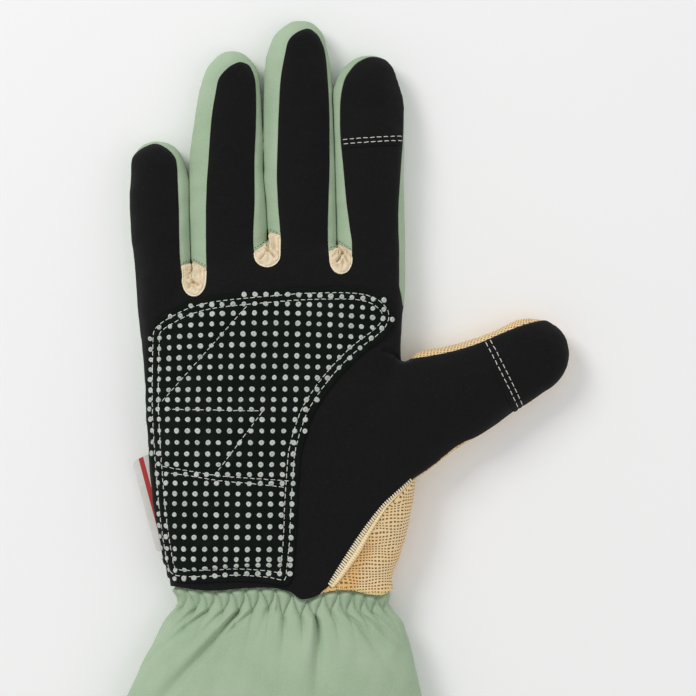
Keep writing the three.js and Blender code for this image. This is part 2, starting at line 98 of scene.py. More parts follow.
# along, offset, half width and height, as shares of the thumb's sizes.
THUMB = np.array([
    (0, 0, 0.5, 1), (0.22, 0.03, 0.55, 1.04), (0.43, 0.0545, 0.4855, 1), (0.6, 0.03, 0.416, 0.92),
    (0.75, 0.039, 0.368, 0.84), (THUMB_TIP, 0.061, 0.352, 0.78),
])

# along, spread, lift and shift, from wrist to mouth.
CUFF = np.array([
    (0, 0, 0, 0), (0.011, -0.03, -0.02, 0.002), (0.037, -0.022, -0.04, 0), (0.061, 0.08, 0.06, 0.002),
    (0.086, 0.146, 0.13, 0.001), (0.134, 0.25, 0.24, -0.005), (0.209, 0.38, 0.38, -0.017),
    (0.3, 0.5, 0.5, -0.02), (0.48, 0.77, 0.75, -0.022), (0.72, 0.94, 0.92, -0.018), (1, 1, 1, -0.015),
])

# The fingers seen from above. meets: up to where each touches the fingers to its left and right. tip and
# black_tip: the ends of the finger and of its black palm side. rows: its edges.
FINGERS = [
    dict(name="little", meets=(-200, 92), tip=(-45.6, 107.1), black_tip=(-45.8, 106.7), rows=np.array([
        # y, left, black left, black right, right
        (34, -50.9, -60, -33, -32), (45, -52.1, -60, -33, -32), (62.2, -53.3, -60, -35.9, -32.1),
        (70.3, -54.2, -60, -36.3, -32.4), (83.6, -54.8, -60, -36.6, -32.7), (92, -54.8, -60, -37, -32.8),
        (96.2, -54.8, -60, -37.1, -33.7), (100.6, -54.6, -60, -37.7, -35.5),
        (102.9, -53.3, -53.9, -39.2, -36.3), (104.6, -51.9, -51.3, -41, -38)])),
    dict(name="ring", meets=(92, 94), tip=(-17.3, 140.5), black_tip=(-13.7, 136.6), rows=np.array([
        (45, -32, -26.2, -6, -3.9), (66.6, -32.3, -26.8, -8.9, -3.8), (83.6, -32.8, -26.8, -8.5, -4.4),
        (91, -32.7, -26.5, -8.5, -5.2), (98.4, -32.6, -26, -8.5, -5.5), (114.7, -30.7, -24.8, -7.9, -6.0),
        (125.1, -29.2, -23.2, -7.9, -6.6), (130.2, -28, -22, -8.3, -7), (133.9, -26.7, -18.9, -9.6, -8.1),
        (135.6, -25.7, -16.6, -10.8, -9), (136.9, -24.5, -15, -12, -10), (138.4, -22.9, -14, -13, -11.5)])),
    dict(name="middle", meets=(94, 126), tip=(8.0, 151.8), black_tip=(11.1, 149.1), rows=np.array([
        (45, -3.8, -1, 20.5, 22), (66.6, -3.6, 0.8, 18.8, 21.8), (83.6, -4.3, -0.2, 18.9, 21.5),
        (94, -5.1, -0.6, 19.3, 21.2), (107.3, -5.2, -0.3, 19.4, 20.8), (118.4, -5.2, 0.1, 19.3, 20.4),
        (130.2, -4.8, 0.8, 18.7, 19.9), (139.9, -3.7, 2.6, 17.8, 18.5), (144.3, -2.2, 3.8, 16.3, 17.7),
        (147.3, -0.6, 6.7, 14.4, 16.7), (148.5, 0.9, 8.6, 13.1, 15.6), (149.9, 2.7, 10.5, 11.7, 14.2)])),
    dict(name="index", meets=(126, -200), tip=(34.2, 139.0), black_tip=(35.2, 139.0), rows=np.array([
        (45, 22.2, 26, 45.2, 46.9), (66.6, 21.9, 27.2, 45.2, 47.4), (74.7, 21.7, 26.4, 44.9, 47.3),
        (83.6, 21.5, 25.2, 45, 46.7), (98.4, 21.1, 23.8, 46, 46.6), (107.3, 20.8, 22.9, 46.7, 47),
        (118.4, 20.4, 22.7, 47.2, 46.7), (125.1, 20.3, 23.3, 48, 45.6), (130.2, 21.9, 24.5, 47, 43.8),
        (133.9, 24.2, 26.8, 45.5, 42.6), (136.9, 27.5, 29.8, 43, 40.1)])),
]

# Outlines seen from above, as shares of the palm's width and length.
BLACK_PALM = [
    (-0.7, -0.7), (0.13, -0.7), (0.16, -0.525), (0.198, -0.484), (0.228, -0.445), (0.287, -0.37),
    (0.344, -0.303), (0.41, -0.236), (0.5, -0.171), (0.56, -0.1), (0.6, 0.1), (0.508, 0.21),
    (0.502, 0.235), (0.502, 0.29), (0.56, 0.31), (0.56, 0.365), (0.496, 0.385), (0.489, 0.42),
    (0.48, 0.45), (0.474, 0.48),
]
BLACK_THUMB = [
    (0.41, -0.236), (0.51, -0.165), (0.6, -0.128), (0.73, -0.062), (0.86, 0.0), (1.02, 0.06), (1.25, 0.1),
    (1.25, 0.37), (1.056, 0.35), (0.97, 0.333), (0.886, 0.308), (0.772, 0.27), (0.638, 0.241),
    (0.508, 0.225), (0.3, 0.2), (0.25, -0.1),
]
MESH = [
    (0.06, -0.7), (1.3, -0.7), (1.3, 0.6), (0.56, 0.3), (0.485, 0.222), (0.4, 0.2), (0.3, 0.05), (0.2, -0.2),
    (0.1, -0.45),
]
BINDING = [
    # along x and y, width
    (0.525, -0.153, 0.18), (0.5, -0.171, 0.24), (0.455, -0.202, 0.32), (0.41, -0.236, 0.45),
    (0.344, -0.303, 0.75), (0.287, -0.37, 1), (0.228, -0.445, 0.8), (0.2, -0.482, 0.5),
]
BINDING_W = 3.6

# How far inside the grip patch's edge its two rows of stitches run.
OUTER_ROW, INNER_ROW = 2.2, 4.5

# The eye's height, the place below it, and how far above the silhouette the palm and the sides' edges lie.
EYE = 1430.0
EYE_OVER = np.array([25.9, 30.3])
SILHOUETTE_H = 7.5
PALM_ABOVE = 17.0
SIDE_ABOVE = 8.0


def shares(points):
    return np.array(points, float)[:, :2] * [PALM_W, PALM_L]


def knuckle_arc(x):
    s = x / PALM_W
    return PALM_L / 2 + PALM_W * (0.0138 + 0.0845 * s - 0.811 * s * s)


def signed_power(v, p):
    return np.sign(v) * np.abs(v) ** p


def soft_step(x, low, high):
    t = np.clip((x - low) / (high - low), 0, 1)
    return t * t * (3 - 2 * t)


def bell(x, width):
    """One at zero, fading evenly on both sides."""
    return np.exp(-((x / width) ** 2))


def unit(v):
    return v / np.maximum(np.linalg.norm(v, axis=-1, keepdims=True), 1e-9)


def smooth(x, xs, ys):
    """A smooth curve through a table's rows, read at x."""
    ys = np.asarray(ys, float)
    slope = np.gradient(ys, xs)
    x = np.clip(x, xs[0], xs[-1])
    i = np.clip(np.searchsorted(xs, x, side="right") - 1, 0, len(xs) - 2)
    h = xs[i + 1] - xs[i]
    t = (x - xs[i]) / h
    return ((2 * t**3 - 3 * t**2 + 1) * ys[i] + (t**3 - 2 * t**2 + t) * h * slope[i]
            + (-2 * t**3 + 3 * t**2) * ys[i + 1] + (t**3 - t**2) * h * slope[i + 1])


def rounded(points, per=6, closed=True):
    """A polygon's corners joined by a smooth curve."""
    p = np.asarray(points, float)
    n = len(p)
    out = []
    for i in range(n if closed else n - 1):
        if closed:
            p0, p1, p2, p3 = p[i - 1], p[i], p[(i + 1) % n], p[(i + 2) % n]
        else:
            p0, p1, p2, p3 = p[max(i - 1, 0)], p[i], p[i + 1], p[min(i + 2, n - 1)]
        t = np.arange(per)[:, None] / per
        out.append(0.5 * (2 * p1 + (p2 - p0) * t + (2 * p0 - 5 * p1 + 4 * p2 - p3) * t**2
                          + (3 * p1 - p0 - 3 * p2 + p3) * t**3))
    if not closed:
        out.append(p[-1:])
    return np.vstack(out)


def finger_at(f, y):
    """A finger's left and right edges and its height, closing round at the tip."""
    rows, (tip_x, tip_y) = f["rows"], f["tip"]
    left, right = smooth(y, rows[:, 0], rows[:, 1]), smooth(y, rows[:, 0], rows[:, 4])
    last = rows[-1, 0]
    close = np.sqrt(1 - np.clip((y - last) / (tip_y - last), 0, 1) ** 2)
    along = np.clip((y - rows[0, 0]) / (tip_y - rows[0, 0]), 0, 1)
    return tip_x + (left - tip_x) * close, tip_x + (right - tip_x) * close, FINGER_H * (1 - 0.16 * along**2)


# Sections and tubes of the skin.
def section(left, right, height, grow, skin, fullness, count, lift=None):
    centre = (left + right) / 2
    half = max((right - left) / 2 * grow + skin, 0.02)
    belly = height * BELLY
    rise = max((height - belly) * (grow if lift is None else lift) + skin, 0.02)
    a = 2 * np.pi * np.arange(count) / count
    x = centre + half * signed_power(np.cos(a), 2 / fullness)
    z = belly + rise * signed_power(np.sin(a), 2 / fullness)
    return x, np.maximum(z, -skin)


def grid(rows, columns, closed=True):
    """The quads between rows of points that are numbered row by row. Closed rows join up at their ends."""
    i, j = np.meshgrid(np.arange(rows - 1), np.arange(columns if closed else columns - 1), indexing="ij")
    a, b = i * columns + j, i * columns + (j + 1) % columns
    return np.stack([a, b, b + columns, a + columns], -1).reshape(-1, 4)


def halves(quads):
    return np.vstack([quads[:, :3], quads[:, [0, 2, 3]]])


def fan(centre, first, count):
    """Triangles from a centre to a ring of points."""
    k = np.arange(count)
    return np.stack([np.full(count, centre), first + k, first + (k + 1) % count], -1)


def end_fans(rows, columns):
    """Fans that close both ends of a tube. Their centres are the two points after its rows."""
    last = rows * columns
    return np.vstack([fan(last, 0, columns)[:, [0, 2, 1]], fan(last + 1, last - columns, columns)])


def tube(rings):
    """A closed tube through its rings."""
    r = np.array(rings)
    n, m = r.shape[:2]
    points = np.vstack([r.reshape(-1, 3), r[0].mean(0), r[-1].mean(0)])
    return points, [*grid(n, m).tolist(), *end_fans(n, m).tolist()]


ROUND_ANGLES = np.radians([10, 20, 30, 40, 49, 57, 64, 70, 75, 80, 84, 87])


def finger_tube(f, skin):
    """One finger. It keeps a little away from its neighbours, so that they stay apart."""
    tip_y = f["tip"][1]
    y_round = tip_y - TIP_ROUND
    stations = [(y, y, 1.0) for y in np.linspace(f["rows"][0, 0], y_round, 26)]
    stations += [(y_round + TIP_ROUND * math.sin(a), y_round + (TIP_ROUND + skin) * math.sin(a), math.cos(a))
                 for a in ROUND_ANGLES]
    rings = []
    for y_shape, y, lift in stations:
        left, right, height = finger_at(f, y_shape)
        near_left, near_right = (FINGER_GAP / 2 * soft_step(meet + 8 - y, 0, 8) for meet in f["meets"])
        left, right = left + near_left, right - near_right
        x, z = section(left, right, height, 1, skin, 2, 40, lift)
        rings.append(np.stack([x, np.full_like(x, y), z], -1))
    return tube(rings)


def thumb_tube(skin):
    rings = []
    stations = [(t, *(smooth(t, THUMB[:, 0], THUMB[:, k]) for k in (1, 2, 3)), 1.0)
                for t in np.linspace(0, THUMB_TIP, 24)]
    reach = (THUMB_END - THUMB_TIP) * THUMB_L + skin
    stations += [(THUMB_TIP + reach * math.sin(a) / THUMB_L, *THUMB[-1, 1:], math.cos(a))
                 for a in ROUND_ANGLES]
    c, s = math.cos(THUMB_TURN), math.sin(THUMB_TURN)
    for along, offset, half, height, grow in stations:
        left, right = -THUMB_W * (offset + half), -THUMB_W * (offset - half)
        across, z = section(left, right, THUMB_H * height, grow, skin, 2, 48)
        u, v = along * THUMB_L, -across
        rings.append(np.stack([THUMB_ROOT[0] + u * c - v * s, THUMB_ROOT[1] + u * s + v * c, z], -1))
    return tube([r[::-1] for r in rings])


def palm_tube(skin):
    rings = []

    def ring(t, y, grow, pinch=0.0):
        left, right, height, bow = (smooth(t, PALM[:, 0], PALM[:, k]) for k in (1, 2, 3, 4))
        x, z = section((left + pinch) * PALM_W, (right - pinch) * PALM_W, height * PALM_H, 1, skin, 2.5, 96)
        belly = height * PALM_H * BELLY
        drop = bow * (knuckle_arc(x) - PALM_L / 2)
        rings.append(np.stack([x, y + drop, belly + (z - belly) * grow], -1))

    ring(0, WRIST_Y - PALM_L / 4, 1)
    for t in np.linspace(0, 1, 44):
        ring(t, WRIST_Y + t * PALM_L, 1)
    for a in ROUND_ANGLES:
        ring(1, WRIST_Y + PALM_L + (GUSSET_L + skin) * math.sin(a), math.cos(a), 0.02)
    return tube(rings)


# Plain meshes as arrays.
def new_mesh(name, points_mm, faces):
    mesh = bpy.data.meshes.new(name)
    mesh.from_pydata((np.asarray(points_mm) * 0.001).tolist(), [], faces)
    return mesh


def placed(name, data):
    """A new object in the scene."""
    obj = bpy.data.objects.new(name, data)
    bpy.context.scene.collection.objects.link(obj)
    return obj


def triangles(mesh):
    mesh.calc_loop_triangles()
    v = np.empty(len(mesh.vertices) * 3)
    mesh.vertices.foreach_get("co", v)
    t = np.empty(len(mesh.loop_triangles) * 3, np.int32)
    mesh.loop_triangles.foreach_get("vertices", t)
    return v.reshape(-1, 3) * 1000, t.reshape(-1, 3).astype(int)


def fused(tubes, voxel):
    """One closed skin round several tubes that run into each other."""
    verts, faces, base = [], [], 0
    for v, q in tubes:
        verts.append(v)
        faces += [[i + base for i in face] for face in q]
        base += len(v)
    obj = placed("tmp_fuse", new_mesh("tmp_fuse", np.vstack(verts), faces))
    remesh = obj.modifiers.new("fuse", "REMESH")
    remesh.mode = "VOXEL"
    remesh.voxel_size = voxel * 0.001
    made = obj.evaluated_get(bpy.context.evaluated_depsgraph_get()).to_mesh()
    v, t = triangles(made)
    bpy.data.objects.remove(obj)
    return v, t


def directed_edges(tris):
    return np.vstack([tris[:, [0, 1]], tris[:, [1, 2]], tris[:, [2, 0]]])


def edges_of(tris):
    return np.unique(np.sort(directed_edges(tris), 1), axis=0, return_counts=True)


def numbering(pairs, base):
    """A function from two points to the number of their pair. The pairs are sorted, and count from base."""
    code = pairs[:, 0] * (base + 1) + pairs[:, 1]
    return lambda p, q: base + np.searchsorted(code, np.minimum(p, q) * (base + 1) + np.maximum(p, q))


def normals_of(v, tris):
    n = np.cross(v[tris[:, 1]] - v[tris[:, 0]], v[tris[:, 2]] - v[tris[:, 0]])
    sums = [sum(np.bincount(tris[:, c], n[:, k], len(v)) for c in range(3)) for k in range(3)]
    return unit(np.stack(sums, -1))


def relax(v, tris, weight, rounds):
    """Moves each point towards its neighbours' mean by its weight."""
    e, _ = edges_of(tris)
    a, b = np.concatenate([e[:, 0], e[:, 1]]), np.concatenate([e[:, 1], e[:, 0]])
    count = np.maximum(np.bincount(a, minlength=len(v)), 1)[:, None]
    w = np.broadcast_to(np.asarray(weight, float).reshape(-1, 1), (len(v), 1))
    for _ in range(rounds):
        mean = np.stack([np.bincount(a, v[b, k], len(v)) for k in range(3)], -1) / count
        v = v + w * (mean - v)
    return v


BATCH = 20000


def inside(points, outline):
    """Signed distance to an outline seen from above, positive inside it."""
    p = np.asarray(outline, float)
    q = np.roll(p, -1, 0)
    out = np.empty(len(points))
    d = q - p
    dd = np.maximum((d * d).sum(1), 1e-12)
    for s in range(0, len(points), BATCH):
        here = points[s:s + BATCH, None, :2]
        x = here - p[None]
        t = np.clip((x * d).sum(-1) / dd, 0, 1)
        dist = np.sqrt(((x - t[..., None] * d) ** 2).sum(-1)).min(1)
        y0, y1, y = p[:, 1], q[:, 1], here[..., 1]
        crossing_x = p[:, 0] + (y - y0) * d[:, 0] / np.where(d[:, 1] == 0, 1e-12, d[:, 1])
        crossed = ((y0 <= y) != (y1 <= y)) & (here[..., 0] < crossing_x)
        out[s:s + BATCH] = np.where(crossed.sum(1) % 2 == 1, dist, -dist)
    return out


def distance(points, path):
    """Distance to a line of points seen from above, and how far along it the nearest place is."""
    p, q = np.asarray(path[:-1], float)[:, :2], np.asarray(path[1:], float)[:, :2]
    d = q - p
    length = np.sqrt((d * d).sum(1))
    start = np.concatenate([[0], np.cumsum(length)[:-1]])
    dist, along = np.empty(len(points)), np.empty(len(points))
    for s in range(0, len(points), BATCH):
        x = points[s:s + BATCH, None, :2] - p[None]
        t = np.clip((x * d).sum(-1) / np.maximum(length**2, 1e-12), 0, 1)
        r = np.sqrt(((x - t[..., None] * d) ** 2).sum(-1))
        k = r.argmin(1)
        rows = np.arange(len(k))
        dist[s:s + BATCH], along[s:s + BATCH] = r[rows, k], start[k] + t[rows, k] * length[k]
    return dist, along


class Sheet:
    """A cloth sheet: points, triangles and values at the points."""

    def __init__(self, v, tris, **values):
        self.v, self.tris, self.values = v, tris, values

    def __getitem__(self, name):
        return self.values[name]

    def clip(self, field):
        """The part of the sheet where field is above zero, cut cleanly along its zero line."""
        f = np.where(np.abs(field) < 1e-6, 1e-6, field)
        up = f > 0
        keep = [self.tris[up[self.tris].all(1)]]
        crossed = []
        for corner in range(3):
            turned = np.roll(self.tris, -corner, 1)
            a, b, c = up[turned].T
            crossed += [(True, turned[a & ~b & ~c]), (False, turned[~a & b & c])]
        pairs = np.vstack([part[:, ends] for _, part in crossed for ends in ([0, 1], [0, 2])])
        i, j = np.unique(np.sort(pairs, 1), axis=0).T
        s = np.clip(f[i] / (f[i] - f[j]), 0.03, 0.97)[:, None]
        cut = numbering(np.stack([i, j], 1), len(self.v))

        def with_cuts(x):
            flat = x.reshape(len(x), -1)
            return np.vstack([flat, flat[i] * (1 - s) + flat[j] * s]).reshape((-1,) + x.shape[1:])

        for lone_up, part in crossed:
            a, b, c = part.T
            ab, ac = cut(a, b), cut(a, c)
            keep += [np.stack(t, 1) for t in ([(a, ab, ac)] if lone_up else [(b, c, ac), (b, ac, ab)])]
        values = {name: with_cuts(x) for name, x in self.values.items()}
        return Sheet(with_cuts(self.v), np.vstack(keep), **values).compact()

    def compact(self):
        used, inverse = np.unique(self.tris, return_inverse=True)
        return Sheet(self.v[used], inverse.reshape(-1, 3), **{n: x[used] for n, x in self.values.items()})

    def subdivide(self, rounds=1):
        sheet = self
        for _ in range(rounds):
            e, _ = edges_of(sheet.tris)
            mid = numbering(e, len(sheet.v))
            a, b, c = sheet.tris.T
            ab, bc, ca = mid(a, b), mid(b, c), mid(c, a)
            tris = np.vstack([np.stack(x, 1) for x in ((a, ab, ca), (ab, b, bc), (ca, bc, c), (ab, bc, ca))])

            def with_middles(x, e=e):
                return np.concatenate([x, (x[e[:, 0]] + x[e[:, 1]]) / 2])

            values = {name: with_middles(x) for name, x in sheet.values.items()}
            sheet = Sheet(with_middles(sheet.v), tris, **values)
        return sheet

    def largest(self, least=12):
        """The sheet without crumbs of a few triangles."""
        label = np.arange(len(self.v))
        e, _ = edges_of(self.tris)
        for _ in range(400):
            low = np.minimum(label[e[:, 0]], label[e[:, 1]])
            before = label.copy()
            np.minimum.at(label, e[:, 0], low)
            np.minimum.at(label, e[:, 1], low)
            label = label[label]
            if (label == before).all():
                break
        group = label[self.tris[:, 0]]
        names, count = np.unique(group, return_counts=True)
        good = np.isin(group, names[count >= least])
        return Sheet(self.v, self.tris[good], **self.values).compact()


def walled(sheet, low, faces):
    """The sheet and a copy of its points at low, with a wall between them along the open edge."""
    n = len(sheet.v)
    directed = directed_edges(sheet.tris)
    _, index, count = np.unique(np.sort(directed, 1), axis=0, return_index=True, return_counts=True)
    a, b = directed[index[count == 1]].T
    tris = np.vstack([sheet.tris, faces + n, np.stack([b, a, a + n], 1), np.stack([b, a + n, b + n], 1)])
    values = {k: np.concatenate([x, x]) for k, x in sheet.values.items()}
    return Sheet(np.vstack([sheet.v, low]), tris, **values)


def thicken(sheet, wall):
    """The sheet's outer face, its inner face a wall further in, and the edge between them."""
    inner = sheet.v - sheet["n"] * wall
    inner[:, 2] = np.maximum(inner[:, 2], np.minimum(sheet.v[:, 2], 0.4 * wall))
    return walled(sheet, inner, sheet.tris[:, ::-1])


def skirted(sheet, depth):
    """The sheet with its open edge drawn down into what it lies on."""
    return walled(sheet, sheet.v - sheet["n"] * depth, sheet.tris[:0]).compact()


UV_NAME = "cloth"


def piece(name, sheet, material, replaces=(), sharp=50):
    mesh = new_mesh(name, sheet.v, sheet.tris.tolist())
    if "uv" in sheet.values:
        layer = mesh.uv_layers.new(name=UV_NAME)
        loops = np.empty(len(mesh.loops), np.int32)
        mesh.loops.foreach_get("vertex_index", loops)
        layer.data.foreach_set("uv", sheet["uv"][loops].astype(np.float32).ravel())
    mesh.shade_smooth()
    mesh.set_sharp_from_angle(angle=math.radians(sharp))
    mesh.materials.append(material)
    obj = placed(name, mesh)
    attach(obj, "root")
    if replaces:
        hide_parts(*replaces)
    return obj


# Smooth waves that make cloth uneven.
def waves(points, size, seed, count=9):
    r = np.random.default_rng(seed)
    out = np.zeros(len(points))
    for _ in range(count):
        k = r.normal(size=3)
        k *= 2 * np.pi / (size * r.uniform(0.7, 1.6) * np.linalg.norm(k))
        out += np.sin(points @ k + r.uniform(0, 2 * np.pi))
    return out / math.sqrt(count / 2)


# The skin of the hand, one closed surface.
SHEATH = 0.7
SKIN_RISE = 0.15
VOXEL = 0.85
skin_v, skin_t = fused(
    [palm_tube(-SHEATH), thumb_tube(-SHEATH), *(finger_tube(f, -SHEATH) for f in FINGERS)], VOXEL)
skin_v = relax(skin_v, skin_t, 0.5, 3)


def soften_joints(v, tris):
    """Melts the knuckles and the thumb's root into the palm, on the upper side."""
    x, y, z = v.T
    top = soft_step(z, 8, 12)
    knuckles = bell(y - knuckle_arc(x), 7)
    root = bell(x - 37, 12) * bell(y + 2, 26)
    return relax(v, tris, 0.5 * np.clip((knuckles + root) * top, 0, 1), 45)


def soften_tips(v, tris):
    """Evens out the fingertips."""
    weight = np.zeros(len(v))
    for f in FINGERS:
        near = (v[:, 0] > f["tip"][0] - 11) & (v[:, 0] < f["tip"][0] + 13)
        weight = np.maximum(weight, near * soft_step(v[:, 1], f["tip"][1] - 18, f["tip"][1] - 12))
    return relax(v, tris, 0.5 * weight, 10)


skin_v = soften_tips(soften_joints(skin_v, skin_t), skin_t)
skin_v = skin_v + normals_of(skin_v, skin_t) * (SHEATH + SKIN_RISE)
skin_v[:, 2] = np.maximum(skin_v[:, 2], 0)


def offset_inwards(outline, distance_in):
    p = np.asarray(outline, float)
    t = unit(np.roll(p, -1, 0) - np.roll(p, 1, 0))
    n = np.stack([-t[:, 1], t[:, 0]], -1)
    area = 0.5 * np.sum(p[:, 0] * np.roll(p[:, 1], -1) - np.roll(p[:, 0], -1) * p[:, 1])
    q = p + n * (distance_in if area > 0 else -distance_in)
    keep = np.abs(inside(q, p)) > abs(distance_in) * 0.93
    return q[keep]


def lowered(points, height):
    """Where marks seen from above lie on a surface that is this much nearer to the eye."""
    return EYE_OVER + (np.asarray(points, float) - EYE_OVER) * (1 - height / EYE)


# Outlines seen from above.
def line(points, first, last):
    return rounded(shares(points)[first:last], 8, closed=False)


def palm_outline():
    xs = PALM_W * (0.44 - 1.14 * np.linspace(0, 1, 30))
    top = np.stack([xs, knuckle_arc(xs) + 0.6 * FORK_W], -1)
    return np.vstack([shares(BLACK_PALM)[:1], line(BLACK_PALM, 1, 9), shares(BLACK_PALM)[9:], top])


def thumb_outline():
    p = shares(BLACK_THUMB)
    return np.vstack([line(BLACK_THUMB, 0, 6), p[6:8], line(BLACK_THUMB, 8, 14), p[14:]])


def strip_outline(f):
    rows = f["rows"]
    rows = rows[rows[:, 0] < f["black_tip"][1] - 0.9]
    right, left = rows[:, [3, 0]], rows[::-1, [2, 0]]
    path = rounded(np.vstack([right, [f["black_tip"]], left]), 5, closed=False)
    return lowered(np.vstack([path[:1] - [0, 20], path, path[-1:] - [0, 20]]), SIDE_ABOVE)


# The forks. i: the finger to the left. x and y: the bottom. r and depth: the half width and depth of the round
# part. crease: the crevice's place above it. ends: how far the green ends lie above the bottom, left to right.
FORKS = [
    dict(i=0, x=-31.0, y=49.3, r=4.55, depth=6.2, crease=-32.2, ends=(11.6, 12.9, 13.3, 10.6)),
    dict(i=1, x=-3.95, y=60.1, r=4.9, depth=4.6, crease=-3.7, ends=(6.2, 9.4, 13.4, 11.8)),
    dict(i=2, x=23.3, y=57.6, r=4.25, depth=5.4, crease=21.9, ends=(9.2, 9.6, 11.7, 8.4)),
]
forks = [dict(fork, name=FINGERS[fork["i"]]["name"] + "_" + FINGERS[fork["i"] + 1]["name"]) for fork in FORKS]


def fork_arc(fork, grow=0.0):
    a = np.pi * (1 + np.linspace(0, 1, 24))
    r, depth = fork["r"] + grow, fork["depth"] + grow
    arc = np.stack([fork["x"] + r * np.cos(a), fork["y"] + fork["depth"] + depth * np.sin(a)], -1)
    return lowered(arc, SIDE_ABOVE)


def fork_outline(fork):
    """The space between two fingers' black cloths, with its round bottom."""
    left, right = FINGERS[fork["i"]]["rows"], FINGERS[fork["i"] + 1]["rows"]
    top = fork["y"] + fork["depth"] + 1.5
    sides = []
    for rows, column in ((left, 3), (right, 2)):
        ys = np.linspace(top, 110, 40)
        sides.append(lowered(np.stack([smooth(ys, rows[:, 0], rows[:, column]), ys], -1), SIDE_ABOVE))
    return np.vstack([sides[0][::-1], fork_arc(fork), sides[1]])


def gusset_outline(fork):
    x, y, (a, b, c, d) = fork["x"], fork["y"], fork["ends"]
    wide, crease = fork["r"] + 0.3, fork["crease"]
    below = [(x - 2 * wide, y - 3), (x + 2 * wide, y - 3)]
    right = [(x + 2 * wide, y + d - 1.5), (x + wide, y + d), (crease + 0.2, y + c)]
    left = [(crease - 0.2, y + b), (x - wide, y + a), (x - 2 * wide, y + a - 1)]
    return lowered(below + right + left, SIDE_ABOVE)


def binding_outline():
    """The seam's inner, middle and outer lines seen from above."""
    edge = rounded(shares(BINDING), 8, closed=False)
    reach = np.interp(np.linspace(0, 1, len(edge)), np.linspace(0, 1, len(BINDING)), np.array(BINDING)[:, 2])
    along = unit(np.gradient(edge, axis=0))
    across = np.stack([-along[:, 1], along[:, 0]], -1)
    return edge - 0.4 * across, edge, edge + across * (reach * BINDING_W)[:, None]


seam_inner, seam_edge, seam_outer = binding_outline()

# The grip patch's outer row of stitches, all the way round from the little finger's side.
GRIP_ROW = [
    (-46.8, 22), (-46.6, 31.5), (-46.2, 36.3), (-43.9, 39.2), (-39.9, 41.7), (-36, 43.8), (-31.5, 45.6),
    (-25, 47.2), (-16.6, 48.3), (-3.6, 49.5), (9.4, 50.5), (23.6, 50.8), (31.5, 50.2), (36.6, 48.4),
    (39.9, 45.4), (41, 42.2), (39.9, 38.6), (36.6, 35), (31.5, 31.2), (27.2, 27.6), (22.7, 23.1),
    (18.5, 18.2), (14.9, 13.3), (11.3, 7.5), (9.2, 2.3), (7.4, -3.5), (6.1, -9.7), (5.4, -19), (4.8, -28),
    (4.3, -40.2), (3.7, -46.7), (3.2, -51.4), (2.6, -55.2), (0.6, -55.5), (-4, -54.6), (-14.4, -53.9),
    (-22.9, -54.3), (-33, -54.6), (-38.6, -54), (-40.8, -51.5), (-42.4, -43.5), (-43.6, -35), (-44.6, -25),
    (-45.5, -14.3), (-46.2, -4), (-46.8, 8),
]
grip_row = rounded(lowered(GRIP_ROW, PALM_ABOVE), 4)
grip_outline = offset_inwards(grip_row, -OUTER_ROW)

# The wrist's lower edge, from the photo's left to its right.
WRIST_EDGE = np.array([
    (-60, -58.4), (-39, -57.5), (-25, -58.7), (-10, -57.6), (0, -57.8), (5, -59.2), (8.5, -61.6), (12, -61.4),
    (17, -59.3), (27, -58.6), (34, -60.2), (38, -60.6), (42, -59.1), (60, -58.8),
])


def wrist_edge(x):
    return smooth(x, WRIST_EDGE[:, 0], WRIST_EDGE[:, 1])


def fields_of(v):
    """Signed distances to the seams, positive on their own cloth. The seam runs higher at the thumb's side."""
    x, y, z = v.T
    strips = [inside(v, strip_outline(f)) for f in FINGERS]
    black = np.maximum.reduce([inside(v, palm_outline()), inside(v, thumb_outline()), *strips])
    for fork in forks:
        black = np.minimum(black, -inside(v, fork_outline(fork)))
    below_thumb = (x - THUMB_ROOT[0]) * math.sin(THUMB_TURN) - (y - THUMB_ROOT[1]) * math.cos(THUMB_TURN)
    raised = soft_step(x, 46, 54) * (1 - soft_step(x, 68, 80)) * soft_step(below_thumb, 5, 9)
    up = z - SEAM_H - SEAM_RAISE * raised
    mesh = inside(v, np.vstack([shares(MESH)[:4], line(MESH, 4, 9)]))
    return dict(
        black=np.minimum(black, up), up=up, mesh=mesh,
        binding=inside(v, np.vstack([seam_inner, seam_outer[::-1]])),
        gusset=np.stack([inside(v, gusset_outline(fork)) for fork in forks], -1),
        grip=inside(v, grip_outline), wrist=y - wrist_edge(x),
    )


def crevice(i, y):
    """Where finger i meets the one to its right."""
    if i < 0:
        return np.full_like(y, -PALM_W)
    y = np.minimum(y, FINGERS[i]["rows"][-3, 0])
    return (finger_at(FINGERS[i], y)[1] + finger_at(FINGERS[i + 1], y)[0]) / 2


def index_middle(y):
    left, right, _ = finger_at(FINGERS[3], np.minimum(y, 130))
    return (left + right) / 2 + 1.5


# Soft unevenness of the cloth, a tuck at the thumb's crotch and a crease across the heel of the palm.
CROTCH = (46.6, 28.8)
TUCK = np.array([(46.5, 27.3), (43, 28.2), (39, 29.4)])
HEEL_CREASE = np.array([(-44, -49.5), (-30, -50.2), (-12, -49.2), (2, -48.6)])
THUMB_FOLD = np.array([(24, -8), (31, 6), (40, 17)])


